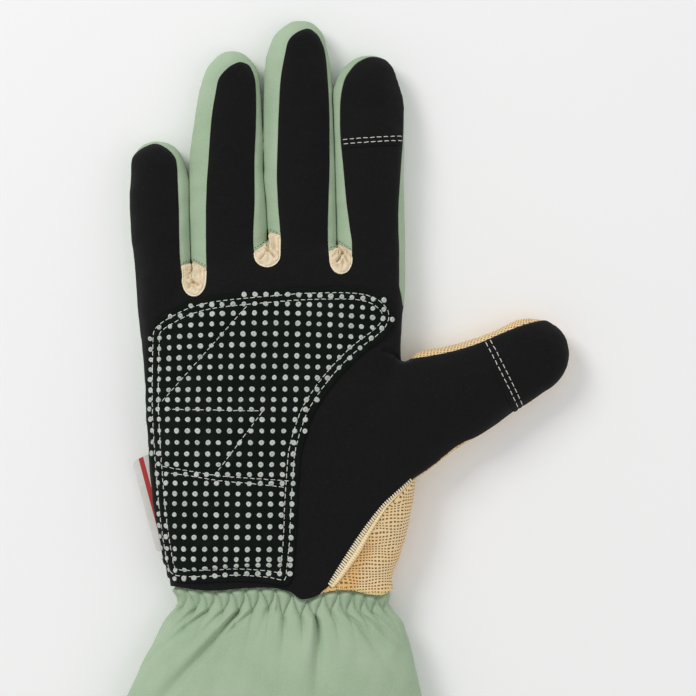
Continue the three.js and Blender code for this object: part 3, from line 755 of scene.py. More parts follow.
def settle(v, tris):
    n = normals_of(v, tris)
    free = soft_step(v[:, 2], 0.5, 4)
    lift = 0.3 * waves(v, 34, 1) + 0.13 * waves(v, 13, 2) + 0.05 * waves(v, 6, 3)
    lift *= 0.35 + 0.65 * soft_step(v[:, 2], 8, 13)
    upper = soft_step(v[:, 2], 9, 13)
    for path, depth, width in ((TUCK, 0.9, 0.8), (THUMB_FOLD, 0.7, 5)):
        d, _ = distance(v, path)
        lift -= upper * depth * bell(d, width)
    crease = smooth(v[:, 0], HEEL_CREASE[:, 0], HEEL_CREASE[:, 1])
    above = v[:, 1] - crease
    across = soft_step(v[:, 0], -50, -44) * (1 - soft_step(v[:, 0], 0, 10))
    lift += upper * across * 1.3 * soft_step(above, -0.6, 1.5) * np.exp(-np.maximum(above, 0) / 9)
    return v + n * (lift * free)[:, None]


def press_fingers(v):
    """Neighbouring fingers touch along their crevice."""
    v = v.copy()
    for fork in forks:
        away = v[:, 0] - crevice(fork["i"], v[:, 1])
        near = soft_step(7 - np.abs(away), 0, 5) * soft_step(v[:, 1] - fork["y"], 1, 5)
        near *= 0.35 + 0.65 * soft_step(FINGERS[fork["i"]]["meets"][1] + 3 - v[:, 1], 0, 5)
        closer = np.maximum(np.abs(away) - 0.9 * near, np.minimum(np.abs(away), 0.07))
        v[:, 0] += np.sign(away) * (closer - np.abs(away))
    return v


def open_crotch(v):
    """The gap between the index finger and the thumb runs down to a narrow end."""
    v = v.copy()
    d = np.hypot(v[:, 0] - CROTCH[0], v[:, 1] - CROTCH[1])
    v[:, 1] -= 2.6 * bell(d, 3.2) * soft_step(v[:, 1], 22, 27)
    return v


skin_v = open_crotch(press_fingers(settle(skin_v, skin_t)))
field = fields_of(skin_v)


def seam_dips(f):
    """The cloth sinks a little along each seam."""
    off_black = soft_step(-f["black"], 0, 0.3)
    dip = 0.42 * bell(f["black"], 0.95) + off_black * 0.35 * bell(f["up"], 0.8)
    for k in range(3):
        dip += off_black * (f["up"] > 0) * 0.3 * bell(f["gusset"][:, k], 0.7)
    return dip


skin_n = normals_of(skin_v, skin_t)
skin_v = skin_v - skin_n * (seam_dips(field) * soft_step(skin_v[:, 2], 0.3, 2))[:, None]
skin_n = normals_of(skin_v, skin_t)


def cloth_uv(v, n, height=20.0):
    """Cloth coordinates in millimetres, which keep running down the sides."""
    return np.stack([v[:, 0] + n[:, 0] * (height - v[:, 2]), v[:, 1] + n[:, 1] * (height - v[:, 2])], -1)


skin = Sheet(skin_v, skin_t, n=skin_n, uv=cloth_uv(skin_v, skin_n), **field)
skin = skin.clip(skin["wrist"])
GAP = 0.07


def fresh(sheet):
    """The sheet with its normals as the whole skin had them, scaled to one."""
    sheet.values["n"] = unit(sheet["n"])
    return sheet


black_cloth = fresh(skin.clip(skin["black"] - GAP).largest())
rest_cloth = skin.clip(-skin["black"] - GAP)
mesh_zone = rest_cloth.clip(rest_cloth["mesh"] - GAP)
in_binding = np.minimum(mesh_zone["binding"], mesh_zone["up"])
mesh_cloth = fresh(mesh_zone.clip(-in_binding - GAP).largest(60))
mesh_cloth.values["uv"] = cloth_uv(mesh_cloth.v, mesh_cloth["n"], 13)
binding_cloth = fresh(mesh_zone.clip(in_binding - GAP).largest(60))
green_zone = rest_cloth.clip(-rest_cloth["mesh"] - GAP)


def side_zone(s):
    """Above the seam, and not the index finger's thumb side, which belongs to the back of the hand."""
    return np.minimum(s["up"], np.maximum(index_middle(s.v[:, 1]) - s.v[:, 0], 20 - s.v[:, 1]))


back_cloth = fresh(green_zone.clip(-side_zone(green_zone) - GAP).largest(60))
upper_green = green_zone.clip(side_zone(green_zone) - GAP)
gusset_cloths, bands = [], upper_green
for k, fork in enumerate(forks):
    part = upper_green.clip(upper_green["gusset"][:, k] - GAP)
    gusset_cloths.append(fresh(part.largest(20)))
    bands = bands.clip(-bands["gusset"][:, k] - GAP)
band_cloths = []
for i in range(4):
    x, y = bands.v[:, 0], bands.v[:, 1]
    limit = crevice(i, y) if i < 3 else index_middle(y) + 20
    band_cloths.append(fresh(bands.clip(np.minimum(x - crevice(i - 1, y), limit - x)).largest(60)))


# Procedural cloths.
class Graph:
    """A material's nodes. Positions come in millimetres."""

    def __init__(self, name):
        self.mat = bpy.data.materials.new(name)
        self.mat.use_nodes = True
        self.tree = self.mat.node_tree
        self.tree.nodes.clear()
        self.out = self.tree.nodes.new("ShaderNodeOutputMaterial")
        self.shader = self.tree.nodes.new("ShaderNodeBsdfPrincipled")
        self.link(self.shader.outputs[0], self.out.inputs["Surface"])
        self.height = None

    def link(self, a, b):
        self.tree.links.new(a, b)

    def put(self, socket, value):
        if isinstance(value, bpy.types.NodeSocket):
            self.link(value, socket)
        elif value is not None:
            socket.default_value = value

    def math(self, op, a, b=None, c=None):
        node = self.tree.nodes.new("ShaderNodeMath")
        node.operation = op
        for socket, value in zip(node.inputs, (a, b, c)):
            self.put(socket, value)
        return node.outputs[0]

    def place(self):
        """Millimetres in the object's own space."""
        coords = self.tree.nodes.new("ShaderNodeTexCoord")
        scale = self.tree.nodes.new("ShaderNodeVectorMath")
        scale.operation = "SCALE"
        scale.inputs["Scale"].default_value = 1000
        self.link(coords.outputs["Object"], scale.inputs[0])
        return scale.outputs[0]

    def cloth(self):
        """Millimetres along the cloth, as two numbers."""
        uv = self.tree.nodes.new("ShaderNodeUVMap")
        uv.uv_map = UV_NAME
        split = self.tree.nodes.new("ShaderNodeSeparateXYZ")
        self.link(uv.outputs[0], split.inputs[0])
        return split.outputs[0], split.outputs[1]

    def noise(self, size, detail=2.0, rough=0.5, place=None):
        node = self.tree.nodes.new("ShaderNodeTexNoise")
        node.inputs["Scale"].default_value = 1 / size
        node.inputs["Detail"].default_value = detail
        node.inputs["Roughness"].default_value = rough
        self.link(place or self.place(), node.inputs["Vector"])
        return node.outputs["Fac"]

    def wave(self, x, pitch, phase=0.0):
        """A smooth wave from 0 to 1 along x."""
        turns = self.math("MULTIPLY", x, 2 * math.pi / pitch)
        if phase:
            turns = self.math("ADD", turns, phase)
        return self.math("MULTIPLY_ADD", self.math("SINE", turns), 0.5, 0.5)

    def ramp(self, x, low, high):
        node = self.tree.nodes.new("ShaderNodeMapRange")
        node.interpolation_type = "SMOOTHSTEP"
        self.link(x, node.inputs["Value"])
        node.inputs["From Min"].default_value = low
        node.inputs["From Max"].default_value = high
        return node.outputs["Result"]

    def mix(self, factor, a, b):
        node = self.tree.nodes.new("ShaderNodeMix")
        node.data_type = "RGBA"
        self.put(node.inputs["Factor"], factor)
        self.put(node.inputs["A"], colour(a) if isinstance(a, tuple) else a)
        self.put(node.inputs["B"], colour(b) if isinstance(b, tuple) else b)
        return node.outputs["Result"]

    def bump(self, height, depth):
        """Adds relief, with its depth in millimetres."""
        node = self.tree.nodes.new("ShaderNodeBump")
        node.inputs["Strength"].default_value = 1
        node.inputs["Distance"].default_value = depth * 0.001
        self.link(height, node.inputs["Height"])
        if self.height:
            self.link(self.height, node.inputs["Normal"])
        self.height = node.outputs[0]

    def finish(self, base, roughness, specular=0.2, sheen=0.0, sheen_roughness=0.5):
        s = self.shader.inputs
        self.put(s["Base Color"], colour(base) if isinstance(base, tuple) else base)
        self.put(s["Roughness"], roughness)
        s["Specular IOR Level"].default_value = specular
        s["Sheen Weight"].default_value = sheen
        s["Sheen Roughness"].default_value = sheen_roughness
        if self.height:
            self.link(self.height, s["Normal"])
        return self.mat


def colour(rgb):
    """A screen colour from 0 to 255 as light."""
    c = np.array(rgb[:3]) / 255
    c = np.where(c <= 0.04045, c / 12.92, ((c + 0.055) / 1.055) ** 2.4)
    return (float(c[0]), float(c[1]), float(c[2]), 1.0)


def weave_height(g, pitch):
    u, v = g.cloth()
    over = g.wave(u, 2 * pitch)
    under = g.wave(v, 2 * pitch)
    warp = g.math("MULTIPLY", g.wave(u, pitch), g.math("SUBTRACT", 1.0, under))
    weft = g.math("MULTIPLY", g.wave(v, pitch), over)
    return g.math("MAXIMUM", warp, weft)


def sage_material():
    g = Graph("sage_cloth")
    weave = weave_height(g, 0.42)
    fine = g.noise(0.5, 3)
    g.bump(g.noise(7, 2), 0.16)
    g.bump(weave, 0.022)
    g.bump(fine, 0.03)
    tone = g.mix(g.ramp(g.noise(22, 3), 0.3, 0.7), (158, 181, 150), (169, 190, 161))
    tone = g.mix(g.ramp(fine, 0.35, 0.7), tone, g.mix(0.5, tone, (176, 196, 168)))
    return g.finish(tone, 0.82, 0.18, 0.12, 0.6)


def suede_material():
    g = Graph("black_suede_cloth")
    fine = g.noise(0.35, 3, 0.7)
    g.bump(fine, 0.05)
    g.bump(g.noise(5, 2), 0.12)
    tone = g.mix(g.ramp(fine, 0.3, 0.75), (17, 17, 18), (27, 27, 28))
    tone = g.mix(g.ramp(g.noise(0.8, 1), 0.62, 0.8), tone, (31, 31, 32))
    return g.finish(tone, 0.95, 0.06, 0.05, 0.6)


def grip_material():
    g = Graph("dotted_grip_cloth")
    u, v = g.cloth()
    ribs = g.wave(u, 0.62)
    loops = g.wave(g.math("ADD", v, g.math("MULTIPLY", ribs, 0.2)), 0.5)
    knit = g.math("MULTIPLY", ribs, g.math("MULTIPLY_ADD", loops, 0.5, 0.5))
    g.bump(knit, 0.07)
    g.bump(g.noise(0.5, 2), 0.04)
    tone = g.mix(g.ramp(knit, 0.1, 0.8), (9, 14, 11), (19, 28, 22))
    tone = g.mix(g.ramp(g.noise(6, 2), 0.4, 0.7), tone, (20, 24, 22))
    return g.finish(tone, 0.92, 0.08, 0.04)


def mesh_material():
    g = Graph("cream_mesh")
    u, v = g.cloth()
    shake = g.math("MULTIPLY_ADD", g.noise(11, 2), 0.7, -0.35)
    cols = g.wave(g.math("ADD", u, shake), 1.22)
    rows = g.wave(g.math("ADD", v, shake), 1.22)
    open_here = g.ramp(g.noise(2.2, 2), 0.2, 0.42)
    gap = g.math("MULTIPLY", g.ramp(cols, 0.22, 0.62), g.ramp(rows, 0.5, 0.88))
    hole = g.math("MULTIPLY", gap, open_here)
    thread = g.noise(0.3, 2)
    g.bump(g.math("SUBTRACT", 1.0, hole), 0.32)
    g.bump(thread, 0.05)
    yarn = g.mix(g.ramp(thread, 0.3, 0.7), (240, 204, 150), (255, 232, 190))
    yarn = g.mix(g.ramp(g.noise(14, 2), 0.35, 0.7), yarn, (250, 214, 158))
    # Painted shade: towards the wrist the mesh turns darker and more orange near the heel seam's fold, where
    # shade falls.
    from_seam = g.math("MULTIPLY_ADD", u, 0.907, g.math("MULTIPLY_ADD", v, -0.42, -46.0))
    seam_shade = g.math("MULTIPLY", g.ramp(from_seam, 5.0, -1.0), g.ramp(v, -35.0, -43.0))
    yarn = g.mix(g.math("MULTIPLY", seam_shade, 0.8), yarn, (234, 182, 114))
    return g.finish(g.mix(hole, yarn, (132, 98, 50)), 0.85, 0.15, 0.1)


def cream_material():
    g = Graph("cream_cloth")
    weave = weave_height(g, 0.3)
    g.bump(g.noise(1.2, 2), 0.12)
    g.bump(weave, 0.04)
    tone = g.mix(g.ramp(g.noise(2.4, 2), 0.35, 0.65), (232, 214, 180), (248, 236, 212))
    return g.finish(g.mix(g.ramp(weave, 0, 0.4), (222, 200, 162), tone), 0.88, 0.15, 0.1)


def thread_material(name, dark, light):
    g = Graph(name)
    twist = g.noise(0.22, 2)
    g.bump(twist, 0.04)
    return g.finish(g.mix(g.ramp(twist, 0.3, 0.7), dark, light), 0.7, 0.25)


def rubber_material():
    g = Graph("grip_dots")
    fine = g.noise(0.5, 3)
    g.bump(fine, 0.04)
    tone = g.mix(g.ramp(g.noise(4, 2), 0.3, 0.7), (180, 188, 180), (206, 212, 205))
    return g.finish(g.mix(g.ramp(fine, 0.5, 0.8), tone, (168, 176, 168)), 0.5, 0.35)


def tape_material():
    g = Graph("label_tape")
    u, v = g.cloth()
    ribs = g.wave(v, 0.5)
    g.bump(ribs, 0.04)
    g.bump(g.noise(3, 2), 0.1)
    tone = g.mix(g.ramp(g.noise(5, 2), 0.3, 0.7), (216, 213, 206), (226, 224, 218))
    tone = g.mix(ribs, tone, g.mix(0.5, tone, (238, 237, 233)))
    stripe = g.ramp(g.math("ABSOLUTE", g.math("ADD", u, 0.4)), 0.95, 0.8)
    return g.finish(g.mix(stripe, tone, g.mix(ribs, (176, 48, 46), (198, 66, 60))), 0.6, 0.3, 0.1)


sage = sage_material()
suede = suede_material()
grip_knit = grip_material()
mesh_knit = mesh_material()
cream = cream_material()
white_thread = thread_material("white_thread", (206, 206, 198), (238, 238, 230))
cream_thread = thread_material("cream_thread", (246, 228, 190), (255, 246, 222))
yellow_thread = thread_material("yellow_thread", (214, 203, 122), (236, 226, 158))
dark_thread = thread_material("dark_thread", (52, 62, 48), (80, 92, 74))
rubber = rubber_material()
tape = tape_material()

piece("palm_cloth", thicken(black_cloth, WALL), suede, ["palm_panel"])
piece("back_cloth", thicken(back_cloth, WALL), sage, ["back_panel"])
piece("thumb_mesh", thicken(mesh_cloth, WALL), mesh_knit, ["thumb_mesh_panel"])
for f, cloth in zip(FINGERS, band_cloths):
    piece("side_" + f["name"], thicken(cloth, WALL), sage, ["finger_band_" + f["name"]])


def surface(*sheets):
    """Sheets as one surface to lay threads and dots on."""
    first = np.cumsum([0] + [len(s.v) for s in sheets[:-1]])
    tris = np.vstack([s.tris + k for s, k in zip(sheets, first)])
    return BVHTree.FromPolygons(np.vstack([s.v for s in sheets]).tolist(), tris.tolist())


def drop(tree, x, y):
    """The place and normal straight below a point seen from above, or nothing."""
    place, normal, _, _ = tree.ray_cast(Vector((x, y, 100)), Vector((0, 0, -1)))
    if place is None:
        return None
    n = np.array(normal)
    return np.array(place), n if n[2] > 0 else -n


def repeated(one, count, points):
    """The triangles of many alike meshes, each with so many points."""
    return (one[None] + (np.arange(count) * points)[:, None, None]).reshape(-1, 3)


def threads(paths, normals, radius, sides=6):
    """Closed round threads along paths of one length. radius is a number for each point of a path."""
    p, n = np.asarray(paths, float), np.asarray(normals, float)
    count, k = p.shape[:2]
    tangent = unit(np.gradient(p, axis=1))
    side = unit(np.cross(tangent, n))
    up = np.cross(side, tangent)
    a = 2 * np.pi * np.arange(sides) / sides
    ring = np.cos(a)[:, None] * side[:, :, None] + np.sin(a)[:, None] * up[:, :, None]
    body = p[:, :, None] + radius[None, :, None, None] * ring
    verts = np.concatenate([body.reshape(count, -1, 3), p[:, [0, -1]]], 1)
    one = np.vstack([halves(grid(k, sides)), end_fans(k, sides)])
    return Sheet(verts.reshape(-1, 3), repeated(one, count, verts.shape[1]))


def steps_along(path, pitch, start=0.0):
    """Places every pitch along a line, with its direction there."""
    p = np.asarray(path, float)[:, :2]
    run = np.concatenate([[0], np.cumsum(np.linalg.norm(np.diff(p, axis=0), axis=1))])

    def at(s):
        return np.stack([np.interp(s, run, p[:, k]) for k in (0, 1)], -1)

    s = np.arange(start, run[-1], pitch)
    return at(s), unit(at(s + 0.2) - at(s - 0.2))


def laid(tree, spots, rises, jump):
    """A thread's points and normals on a surface. There is none where it would cross an edge or a step."""
    hits = [drop(tree, x, y) for x, y in spots]
    if any(h is None for h in hits):
        return []
    if np.abs(np.diff([h[0][2] for h in hits])).max() > jump:
        return []
    return [([h[0] + h[1] * r for h, r in zip(hits, rises)], [h[1] for h in hits])]


def thread_piece(name, found, radius, taper, material):
    points, normals = zip(*found)
    return piece(name, threads(points, normals, radius * np.array(taper)), material, sharp=80)


STITCH_SINK = 0.3
STITCH_AT = np.array([-0.5, -0.44, -0.25, 0, 0.25, 0.44, 0.5])
STITCH_RISE = [0.2, 0.75, 0.9, 0.75, 0.2]


def stitches(name, paths, tree, material, pitch=2.5, length=1.75, radius=0.155, jump=1.0):
    """Rows of stitches. Each rises out of the cloth, lies on it and goes back in."""
    rises = [-STITCH_SINK, *(radius * r for r in STITCH_RISE), -STITCH_SINK]
    found = []
    for path in paths:
        for (x, y), (dx, dy) in zip(*steps_along(path, pitch, pitch / 2)):
            reach = length * rng.uniform(0.88, 1.08) * STITCH_AT
            turn = rng.normal(0, 0.05)
            dx, dy = dx * math.cos(turn) - dy * math.sin(turn), dx * math.sin(turn) + dy * math.cos(turn)
            found += laid(tree, [(x + dx * s, y + dy * s) for s in reach], rises, jump)
    thread_piece(name, found, radius, [0.6, 0.9, 1, 1, 1, 0.9, 0.6], material)


def closed(path):
    return np.vstack([path, path[:1]])


# The grip patch: quilted by its stitching, with rubber dots.
QUILTING = [
    [(-11.4, 46.1), (-43.5, 10.1)],
    [(-42.2, 7.6), (-5.6, 7.0)],
    [(-5.6, 7.0), (-23.2, -16.5)],
    [(-43.3, -13.6), (-33.3, -15.2), (-21.6, -17), (-11.2, -17.8), (3.4, -18.8)],
    [(-42.7, -15.8), (-33.3, -17), (-21.6, -18.8), (-9.9, -19.8), (3.1, -21.3)],
]
PATCH_RISE = 0.85


def patch_height(v, edge):
    """How far the patch's cloth stands above the skin: it sinks at every row of stitches."""
    row = bell(edge - OUTER_ROW, 0.55) + bell(edge - INNER_ROW, 0.55)
    sink = 0.32 * np.clip(row, 0, 1) + 0.25 * bell(edge, 0.5)
    puff = soft_step(edge, INNER_ROW, INNER_ROW + 7)
    near_line = np.ones(len(v))
    for path in QUILTING:
        d, _ = distance(v, lowered(path, PALM_ABOVE))
        sink = np.maximum(sink, 0.62 * bell(d, 0.9))
        near_line = np.minimum(near_line, soft_step(d, 0, 7))
    return PATCH_RISE + 0.45 * near_line * puff - sink


patch_sheet = skin.clip(np.minimum(skin["grip"], skin.v[:, 2] - 9)).largest(60).subdivide(1)
patch_edge = inside(patch_sheet.v, grip_outline)
lift = patch_height(patch_sheet.v, patch_edge) + 0.05 * waves(patch_sheet.v, 5, 21)
patch_top = fresh(patch_sheet)
patch_top.v = patch_top.v + patch_top["n"] * lift[:, None]
patch_tree = surface(patch_top)
piece("grip_patch", skirted(patch_top, PATCH_DEPTH), grip_knit, ["palm_grip_patch"])

stitches("grip_stitches", [closed(grip_row), closed(offset_inwards(grip_row, INNER_ROW - OUTER_ROW)),
                           *(rounded(lowered(q, PALM_ABOVE), 6, closed=False) for q in QUILTING)],
         patch_tree, white_thread)

# Rows of dots from the fingers to the wrist, closer together where the patch folds or is quilted.
DOT_ROWS = [
    50.2, 46.7, 43.3, 39.6, 35.6, 31.6, 27.5, 23.5, 19.4, 15.1, 11.2, 7.6, 3.8, -0.4, -4.7,
    -8.9, -12.8, -16.5, -19.8, -23.7, -27.4, -31.5, -35.8, -39.9, -44.3, -48.0, -50.1, -53.3,
]
DOT_PITCH = 3.95
DOT_STEP = 0.25
DOT_RADIUS = 0.98
DOT_MIDDLE = -4.9
DOT_EDGE = 0.55

# A dot's outline, a ring with a dimple: share of the radius, height.
DOT = [(1.0, -0.25), (1.0, 0.05), (0.94, 0.26), (0.74, 0.42), (0.5, 0.44), (0.36, 0.34), (0.25, 0.08)]


def row_arch(x, row):
    """How far a row of dots bends down towards the wrist at x."""
    fingers = 1.3 * ((x - DOT_MIDDLE) / 35) ** 2 * soft_step(row, 5, 35)
    return fingers + 2.3 * soft_step(-x, 8, 42) * soft_step(-row, 48, 49)


def dots_of_row(row, way):
    """Dots a pitch apart over the cloth's ups and downs, from the middle column outwards."""
    x = DOT_MIDDLE + (row - 23.5) * 0.029
    travelled, goal, last = 0.0, 0.0 if way > 0 else DOT_PITCH, None
    out = []
    while abs(x) < 60:
        hit = drop(patch_tree, x, row - row_arch(x, row))
        if hit is None and last is not None:
            break
        if last is not None:
            travelled += float(np.linalg.norm(hit[0] - last))
        if hit is None:
            travelled += DOT_STEP
        else:
            if travelled >= goal:
                out.append(hit)
                goal += DOT_PITCH
            last = hit[0]
        x += way * DOT_STEP
    return out


def domes(places, sides=12):
    a = 2 * np.pi * np.arange(sides) / sides
    count = len(DOT)
    one = np.vstack([halves(grid(count, sides)), fan(count * sides, (count - 1) * sides, sides)])
    verts = []
    for centre, normal in places:
        r = DOT_RADIUS * rng.uniform(0.9, 1.07)
        x = unit(np.cross(normal, (0.3, 1, 0.1)))
        y = np.cross(normal, x)
        wobble = 1 + 0.05 * np.sin(2 * a + rng.uniform(0, 6.28)) + 0.03 * np.sin(3 * a + rng.uniform(0, 6.28))
        ring = r * wobble[:, None] * (np.cos(a)[:, None] * x + np.sin(a)[:, None] * y)
        verts += [centre + share * ring + normal * height for share, height in DOT]
        verts.append((centre + normal * 0.03)[None])
    return Sheet(np.vstack(verts), repeated(one, len(places), count * sides + 1))


dot_rows = lowered([(0, y) for y in DOT_ROWS], PALM_ABOVE)[:, 1]
all_dots = [dot for row in dot_rows for way in (-1, 1) for dot in dots_of_row(row, way)]
dot_edge = inside(np.array([p for p, _ in all_dots]), grip_outline)
dots = domes([dot for dot, edge in zip(all_dots, dot_edge) if edge > DOT_EDGE])
piece("grip_dots", dots, rubber, sharp=85)


# The touch patches on the index finger and the thumb.
def tip_patch(name, replaced, edge, rows):
    """A patch where edge is above zero, sewn on with its rows of stitches."""
    skin.values["edge"] = edge
    seam = skin["black"] - 0.35
    sheet = fresh(skin.clip(np.minimum.reduce([seam, edge, skin.v[:, 2] - 7.6])).largest(40))
    edge = np.minimum(sheet["black"] - 0.35, sheet["edge"])
    sink = np.max([0.28 * bell(distance(sheet.v, np.array(row))[0], 0.5) for row in rows], axis=0)
    sheet.v = sheet.v + sheet["n"] * (0.62 - sink - 0.3 * bell(edge, 0.5))[:, None]
    piece(name, skirted(sheet, TIP_PATCH_DEPTH), suede, [replaced])
    stitches(name + "_stitches", rows, surface(sheet), white_thread, jump=2.2)


x, y = skin.v[:, 0], skin.v[:, 1]
past_index_row = np.minimum(y - 104.6 - 0.065 * (x - 35), x - 22)
tip_patch("index_patch", "index_tip_patch", past_index_row,
          [[(23.6, 107.0), (47.4, 108.5)], [(23.9, 105.4), (47.4, 106.9)]])
along_thumb = (x - THUMB_ROOT[0]) * math.cos(THUMB_TURN) + (y - THUMB_ROOT[1]) * math.sin(THUMB_TURN)
past_thumb_row = np.minimum(along_thumb - 0.7 * THUMB_L, 60 - y)
tip_patch("thumb_patch", "thumb_tip_patch", past_thumb_row,
          [[(75.3, 35.0), (90.3, 5.0)], [(77.0, 35.9), (91.6, 6.6)]])


# The gussets: soft creased cloth, folded in towards the crevice, with a rolled edge.
CREASES = [
    # fork, from x, y, to x, y, depth
    (0, -32.2, 64, -32.1, 56.2, 1.5), (0, -32.1, 56.2, -31.3, 54.6, 1.0), (0, -31.3, 54.8, -32.9, 52.6, 0.8),
    (0, -31.4, 54.8, -29.2, 53.4, 0.9), (0, -29.3, 61, -28.4, 56.5, 0.5), (0, -30.9, 54, -30.2, 51.3, 0.5),
    (1, -3.8, 74, -3.6, 66, 1.5), (1, -3.6, 66.4, -6.6, 63.2, 0.9), (1, -3.6, 66.2, -1.2, 64.0, 0.9),
    (1, -4.6, 66.8, -7.2, 66.3, 0.7), (1, -1.8, 71, -0.8, 66.5, 0.5), (1, -3.4, 64.6, -3.8, 61.9, 0.5),
    (2, 21.9, 70, 22.1, 67.2, 1.5), (2, 22.1, 67.2, 23.9, 65.4, 1.0), (2, 23.9, 65.6, 21.9, 62.3, 1.0),
    (2, 23.9, 65.4, 25.9, 62.6, 0.7), (2, 21.6, 65.6, 20.2, 64.2, 0.5), (2, 24.2, 62.5, 23.8, 59.8, 0.5),
]


def crumple(sheet, fork):
    """Sharp creases run down from the crevice, between soft lobes."""
    sheet = sheet.subdivide(2)
    rim = np.minimum(-sheet["black"], sheet["gusset"][:, fork["i"]])
    lift = np.full(len(sheet.v), 0.35)
    for i, x0, y0, x1, y1, depth in CREASES:
        if i != fork["i"]:
            continue
        path = [(x0, y0), ((x0 + x1) / 2 + 0.15, (y0 + y1) / 2), (x1, y1)]
        d, _ = distance(sheet.v, lowered(path, SIDE_ABOVE))
        lift -= 1.35 * depth * (np.exp(-((d / 0.3) ** 1.3)) - 0.3 * bell(d - 1.1, 0.6))
    lift += 0.07 * waves(sheet.v, 2.6, 40 + fork["i"], 6)
    sheet.v = sheet.v + sheet["n"] * (lift * soft_step(rim, 0, 0.9))[:, None]
    return sheet


def cord(name, path, tree, radius, rise, material):
    """One round thread along a path."""
    hits = [h for h in (drop(tree, x, y) for x, y in steps_along(path, 0.35)[0]) if h]
    p = np.array([h[0] + h[1] * rise for h in hits])
    p[1:-1] = (p[:-2] + p[1:-1] * 2 + p[2:]) / 4
    taper = 1 + 0.12 * np.sin(np.arange(len(p)) * 1.7)
    taper[[0, -1]] *= 0.3
    return piece(name, threads([p], [[h[1] for h in hits]], radius * taper, 8), material, sharp=80)


green_tree = surface(*band_cloths)
for fork, flat in zip(forks, gusset_cloths):
    cloth = crumple(flat, fork)
    solid = skirted(cloth, GUSSET_DEPTH)
    piece("fork_" + fork["name"], solid, cream, ["gusset_" + fork["name"]])
    arc = fork_arc(fork, -0.3)
    left_top, right_top = (fork["y"] + fork["ends"][k] - 1.0 for k in (0, 3))
    path = np.vstack([[(arc[0, 0] - 0.2, left_top)], arc, [(arc[-1, 0] + 0.2, right_top)]])
    both = surface(cloth, black_cloth)
    cord("fork_edge_" + fork["name"], path, both, 0.26, 0.1, cream_thread)

band_end_lines = []
for fork in forks:
    x, y, (a, b, c, d) = fork["x"], fork["y"], fork["ends"]
    wide, crease = fork["r"], fork["crease"]
    band_end_lines += [lowered([(x - wide, y + a + 0.7), (crease - 0.5, y + b + 0.8)], SIDE_ABOVE),
                       lowered([(crease + 0.5, y + c + 0.8), (x + wide, y + d + 0.7)], SIDE_ABOVE)]
stitches("fork_stitches", band_end_lines, green_tree, dark_thread,
         pitch=1.15, length=0.6, radius=0.11)


# The overlocked seam at the heel.
SEAM_PITCH = 0.95


def seam_ridge(sheet):
    """Raises the seam's cloth to a rib along the mesh, with the distances along and across it as its uv."""
    to_edge, along = distance(sheet.v, seam_edge)
    to_outer, _ = distance(sheet.v, seam_outer)
    share = to_edge / np.maximum(to_edge + to_outer, 1e-6)
    within = soft_step(sheet["binding"], -0.2, 0.4)
    ridge = 0.8 * bell(share - 0.7, 0.22) * np.clip((to_edge + to_outer) / 3, 0.2, 1)
    sheet.v = sheet.v + sheet["n"] * ((ridge + 0.1) * within)[:, None]
    sheet.values["uv"] = np.stack([along, share * 3], -1)
    return sheet


def overlock_material():
    g = Graph("overlock_base")
    along, across = g.cloth()
    ribs = g.wave(along, SEAM_PITCH)
    g.bump(ribs, 0.12)
    g.bump(g.noise(0.5, 2), 0.08)
    light = g.mix(g.ramp(ribs, 0.1, 0.7), (240, 208, 150), (255, 236, 192))
    # Towards the black edge the base turns dark brown: partly the black cloth and partly painted shade between
    # the loops.
    return g.finish(g.mix(g.ramp(across, 1.1, 1.5), (122, 106, 82), light), 0.85, 0.15, 0.1)


binding_top = seam_ridge(binding_cloth.subdivide(1))
piece("heel_seam", skirted(binding_top, WALL), overlock_material(), ["heel_seam_binding"])
round_seam = skin.clip(np.minimum(skin["binding"] + 2, skin.v[:, 2] - 5))
seam_tree = surface(seam_ridge(fresh(round_seam)))


def loops_across(name, path, start, reach, tree, material, pitch, radius, rise):
    """Short threads that cross a seam, each leaning a little along it."""
    places, along = steps_along(path, pitch, pitch / 2)
    reach = np.interp(np.linspace(0, 1, len(places)), np.linspace(0, 1, len(reach)), reach)
    rises = rise * np.array([-2.0, 0.6, 1, 1, 1, 0.6, -2.0])
    found = []
    for (x, y), (dx, dy), end in zip(places, along, reach):
        steps = np.linspace(start, end * rng.uniform(0.93, 1.07), 7)
        lean = 0.16 + rng.normal(0, 0.03)
        spots = [(x + (dx * lean - dy) * s, y + (dx + dy * lean) * s) for s in steps]
        found += laid(tree, spots, rises, 1.2)
    thread_piece(name, found, radius, [0.7, 1, 1, 1, 1, 1, 0.7], material)


loops_across("heel_overlock", seam_edge, -0.55, np.array(BINDING)[:, 2] * 1.7 + 0.1, seam_tree, cream_thread,
             SEAM_PITCH, 0.33, 0.12)
low_x = np.linspace(17.6, 41.6, 60)
low_edge = np.stack([low_x, wrist_edge(low_x) + 0.3], -1)
loops_across("mesh_overlock", low_edge, -0.1, [0.8, 0.8], surface(mesh_cloth), yellow_thread, 0.7, 0.15, 0.08)


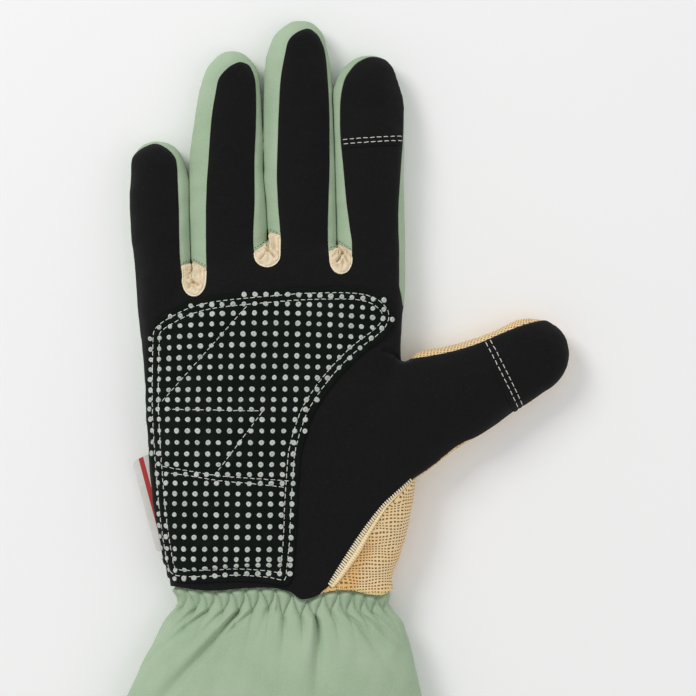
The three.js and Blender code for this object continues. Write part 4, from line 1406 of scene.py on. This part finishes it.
# The bare label, folded double and sewn in the side seam.
def label():
    nu, nv = 14, 50
    across, along = np.linspace(-LABEL_W / 2, LABEL_W / 2, nu), np.linspace(-LABEL_L / 2, LABEL_L / 2, nv)
    u, v = (a.ravel() for a in np.meshgrid(across, along, indexing="ij"))
    c, s = math.cos(LABEL_TURN), math.sin(LABEL_TURN)
    x = -0.488 * PALM_W + u * c - v * s
    y = -0.229 * PALM_L + u * (s + 0.2) + v * c
    out = (LABEL_W / 2 - u) / LABEL_W
    z = SEAM_H + 0.5 * out * np.sin(v / 9) - 0.9 * out**2 + 0.15 * np.sin(v / 3.1)
    tris = halves(grid(nu, nv, closed=False)[:, [0, 3, 2, 1]])
    points = np.stack([x, y, z], -1)
    sheet = Sheet(points, tris, n=normals_of(points, tris), uv=np.stack([u, v], -1))
    left_edge = smooth((y - WRIST_Y) / PALM_L, PALM[:, 0], PALM[:, 1]) * PALM_W
    sheet = sheet.clip(left_edge + 0.7 - x)
    u, v = sheet["uv"].T
    past_corner = np.hypot(np.maximum(LABEL_CORNER - LABEL_W / 2 - u, 0),
                           np.maximum(LABEL_CORNER - LABEL_L / 2 + np.abs(v), 0))
    return thicken(sheet.clip(LABEL_CORNER - past_corner), LABEL_WALL)


piece("label_tape", label(), tape, ["side_label"])


# The gathered cuff. x: a gather's place in front. tip: where the elastic pinches it. depth and run: the fold
# that goes on below. drift: how far that fold moves sideways for each millimetre down.
GATHERS = np.array([
    # x, tip, depth, run, drift
    (-36.5, -64.6, 0.8, 5, -0.5), (-31.5, -65.5, 1.0, 8, -0.5), (-26.3, -65.9, 1.5, 11, -0.85),
    (-20.4, -65.9, 0.9, 7, -0.6), (-14.6, -66.0, 2.5, 30, -0.62), (-9.4, -65.7, 1.2, 10, -0.9),
    (-3.4, -64.4, 0.7, 6, -0.3), (2.1, -67.7, 0.9, 8, 0.0), (8.5, -67.6, 0.8, 6, 0.05),
    (13.7, -68.1, 2.6, 24, -0.03), (20, -66.2, 0.8, 6, 0.1), (25.5, -67.7, 1.4, 13, 0.6),
    (30.7, -67.7, 1.1, 10, 0.9), (35.2, -67.0, 0.9, 8, 0.8), (40, -65.9, 0.8, 6, 0.5),
])
BACK_GATHERS = 15
BACK_RANGES = [(-67, -65), (0.6, 1.5), (5, 14), (-0.4, 0.4)]

# The points round the cuff as shares of its girth from the middle of the back, closer together in front, and
# the share that each stands for.
CUFF_ROUND = 400
CROWDING = 0.45
CUFF_TURN = 2 * np.pi * np.arange(CUFF_ROUND) / CUFF_ROUND
CUFF_SHARE = (CUFF_TURN + CROWDING * np.sin(CUFF_TURN)) / (2 * np.pi)
CUFF_CELL = (1 + CROWDING * np.cos(CUFF_TURN)) / CUFF_ROUND


def cuff_ring(s):
    """A cross-section s below the wrist, and its girth."""
    spread, rise, shift = (smooth(max(s, 0) / CUFF_L, CUFF[:, 0], CUFF[:, k]) for k in (1, 2, 3))
    left, right, height = PALM[0, 1] * PALM_W, PALM[0, 2] * PALM_W, PALM[0, 3] * PALM_H
    half = (right - left) / 2
    half += spread * (MOUTH_W / 2 - half)
    height += rise * (MOUTH_H - height)
    centre = (left + right) / 2 + shift * MOUTH_W
    a = 2 * np.pi * np.arange(1441) / 1440 - np.pi / 2
    belly = height * BELLY
    x = centre + half * signed_power(np.cos(a), 2 / 2.5)
    z = np.maximum(belly + (height - belly) * signed_power(np.sin(a), 2 / 2.5), 0)
    run = np.concatenate([[0], np.cumsum(np.hypot(np.diff(x), np.diff(z)))])
    x, z = (np.interp(CUFF_SHARE * run[-1], run, c) for c in (x, z))
    low = 1 - soft_step(z, 3, 8)
    for _ in range(6):
        x, z = (c + low * ((np.roll(c, 1) + np.roll(c, -1)) / 2 - c) / 2 for c in (x, z))
    return x, z, run[-1]


def all_gathers():
    """The front's gathers and plainer ones behind, each with its place as a share of the girth."""
    x, z, _ = cuff_ring(0)
    front = z > 11
    order = np.argsort(x[front])
    rows = [(np.interp(g[0], x[front][order], CUFF_SHARE[front][order]), *g[1:]) for g in GATHERS]
    first, last = min(r[0] for r in rows), max(r[0] for r in rows)
    for k in range(1, BACK_GATHERS):
        place = (last + (1 - last + first) * (k + rng.uniform(-0.15, 0.15)) / BACK_GATHERS) % 1
        rows.append((place, *(rng.uniform(low, high) for low, high in BACK_RANGES)))
    return np.array(sorted(rows))


def cuff_stations():
    """Distances below the wrist, close together along the gathers and the hem."""
    fine = np.arange(-4, 13, 0.42)
    middle = np.arange(13.4, 44, 1.15)
    plain = np.arange(44.5, CUFF_L - HEM_L - 1.5, 3.4)
    hem = CUFF_L - HEM_L + np.array([-0.8, 0, 0.5, 1.2, 4, 7, 10, 12.5, 13.4, 13.8, 14])
    return np.concatenate([fine, middle, plain, hem])


def gather_relief(y, share, girth, rows, edge):
    """How far the cloth stands out of the plain cuff at y, all the way round."""
    below = edge - y
    right = np.searchsorted(rows[:, 0], share) % len(rows)
    left = (right - 1) % len(rows)
    t = ((share - rows[left, 0]) % 1) / ((rows[right, 0] - rows[left, 0]) % 1)
    tip_down = edge - np.where(t < 0.5, rows[left, 1], rows[right, 1])
    from_tip = np.minimum(t, 1 - t) * 2
    tab = np.clip(1 - np.clip(below / np.maximum(tip_down, 2), 0, 1), 0.001, 1) ** 0.85
    ridge = np.clip(1 - tab, 0.001, 1)
    in_tab = np.clip(1 - (from_tip / tab) ** 2, 0, 1) ** 0.42 * (0.5 + 0.5 * tab)
    on_ridge = np.clip(1 - ((1 - from_tip) / ridge) ** 2, 0, 1) ** 0.42 * (0.25 + 0.75 * ridge)
    ruffle = np.where(from_tip < tab, in_tab, on_ridge)
    relief = 2.7 * (ruffle - 0.8) * np.exp(-np.maximum(below - tip_down, 0) / 5) * soft_step(below, -0.6, 0.8)
    for place, tip, depth, run, drift in rows:
        away = np.maximum(tip - y, 0)
        d = ((share - place + 0.5) % 1 - 0.5) * girth + drift * away
        width = 0.7 + 0.075 * away
        strength = 1.35 * depth * np.exp(-away / run) * soft_step(tip - y, -1.5, 1.5)
        relief -= strength * np.exp(-((np.abs(d) / width) ** 1.7))
        relief += 0.35 * strength * bell(d - 2.2 * width, 1.6 * width)
    return relief


def cuff():
    rows = all_gathers()
    rings, uv = [], []
    for s in cuff_stations():
        x, z, girth = cuff_ring(s)
        y = WRIST_Y - WRIST_GAP - s
        plain = np.stack([x, np.full_like(x, y), z], -1)
        along = unit(np.roll(plain, -1, 0) - np.roll(plain, 1, 0))
        n = np.stack([along[:, 2], 0 * x, -along[:, 0]], -1)
        edge = wrist_edge(x)
        relief = sum(gather_relief(y + dy, (CUFF_SHARE + ds * CUFF_CELL) % 1, girth, rows, edge)
                     for dy in (-0.15, 0.15) for ds in (-0.4, 0, 0.4)) / 6
        relief -= 1.9 * (1 - soft_step(edge - y, -0.3, 2.2))
        relief += 1.1 * soft_step(s, 10, 60) * waves(plain, 62, 51, 6) + 0.12 * waves(plain, 11, 52, 6)
        in_hem = s - (CUFF_L - HEM_L)
        relief += 0.45 * soft_step(in_hem, -0.2, 0.4) - 0.35 * bell(in_hem - 1.2, 0.6)
        relief = np.where((n[:, 2] < 0.3) & (relief > 0), relief * soft_step(z, 0, 6), relief)
        ring = plain + n * relief[:, None]
        ring[:, 2] = np.maximum(ring[:, 2], 0)
        rings.append(ring)
        uv.append(np.stack([CUFF_SHARE * girth, np.full_like(x, -s)], -1))
    v = np.vstack(rings)
    tris = halves(grid(len(rings), CUFF_ROUND))
    return Sheet(v, tris, n=normals_of(v, tris), uv=np.vstack(uv))


cuff_sheet = cuff()
piece("cuff", thicken(cuff_sheet, CUFF_WALL), sage, ["gauntlet_cuff"], sharp=80)
hem_y = WRIST_Y - WRIST_GAP - CUFF_L + HEM_L - 1.2
sage_thread = thread_material("sage_thread", (140, 164, 132), (172, 192, 164))
stitches("hem_stitches", [[(-78, hem_y), (78, hem_y)]], surface(cuff_sheet), sage_thread)


# The view, the floor and the light.
PHOTO_PX = 696
PX_MM = 0.37
LENS, SENSOR = 200, 36
FLOOR = 3.0
LIGHTS = [
    # name, place in metres, size in metres, watts
    ("key", (-1.0, 1.0, 1.2), 0.7, 13.0),
    ("fill", (1.2, -0.3, 1.6), 1.4, 3.5),
]


def stage():
    cam = bpy.data.cameras.new("camera")
    cam.sensor_width = SENSOR
    cam.lens = LENS
    cam.clip_end = 10
    height = PHOTO_PX * PX_MM * LENS / SENSOR + SILHOUETTE_H
    view = placed("camera", cam)
    view.location = (*(EYE_OVER * 0.001), height * 0.001)
    bpy.context.scene.camera = view

    corners = [(-FLOOR, -FLOOR, 0), (FLOOR, -FLOOR, 0), (FLOOR, FLOOR, 0), (-FLOOR, FLOOR, 0)]
    floor_mesh = bpy.data.meshes.new("floor")
    floor_mesh.from_pydata(corners, [], [(0, 1, 2, 3)])
    g = Graph("pale_floor")
    floor_mesh.materials.append(g.finish(g.mix(g.noise(400, 1), (251, 251, 251), (253, 253, 253)), 0.9, 0.1))
    floor = placed("floor", floor_mesh)

    world = bpy.data.worlds.new("studio")
    world.use_nodes = True
    light, strength = world.node_tree.nodes["Background"].inputs[:2]
    light.default_value = (1, 1, 1, 1)
    strength.default_value = 0.6
    bpy.context.scene.world = world
    for name, place, size, power in LIGHTS:
        data = bpy.data.lights.new(name, "AREA")
        data.size = size
        data.energy = power
        lamp = placed(name, data)
        lamp.location = place
        lamp.rotation_euler = Vector(place).to_track_quat("Z", "Y").to_euler()
    bpy.context.scene.view_settings.view_transform = "Standard"


stage()
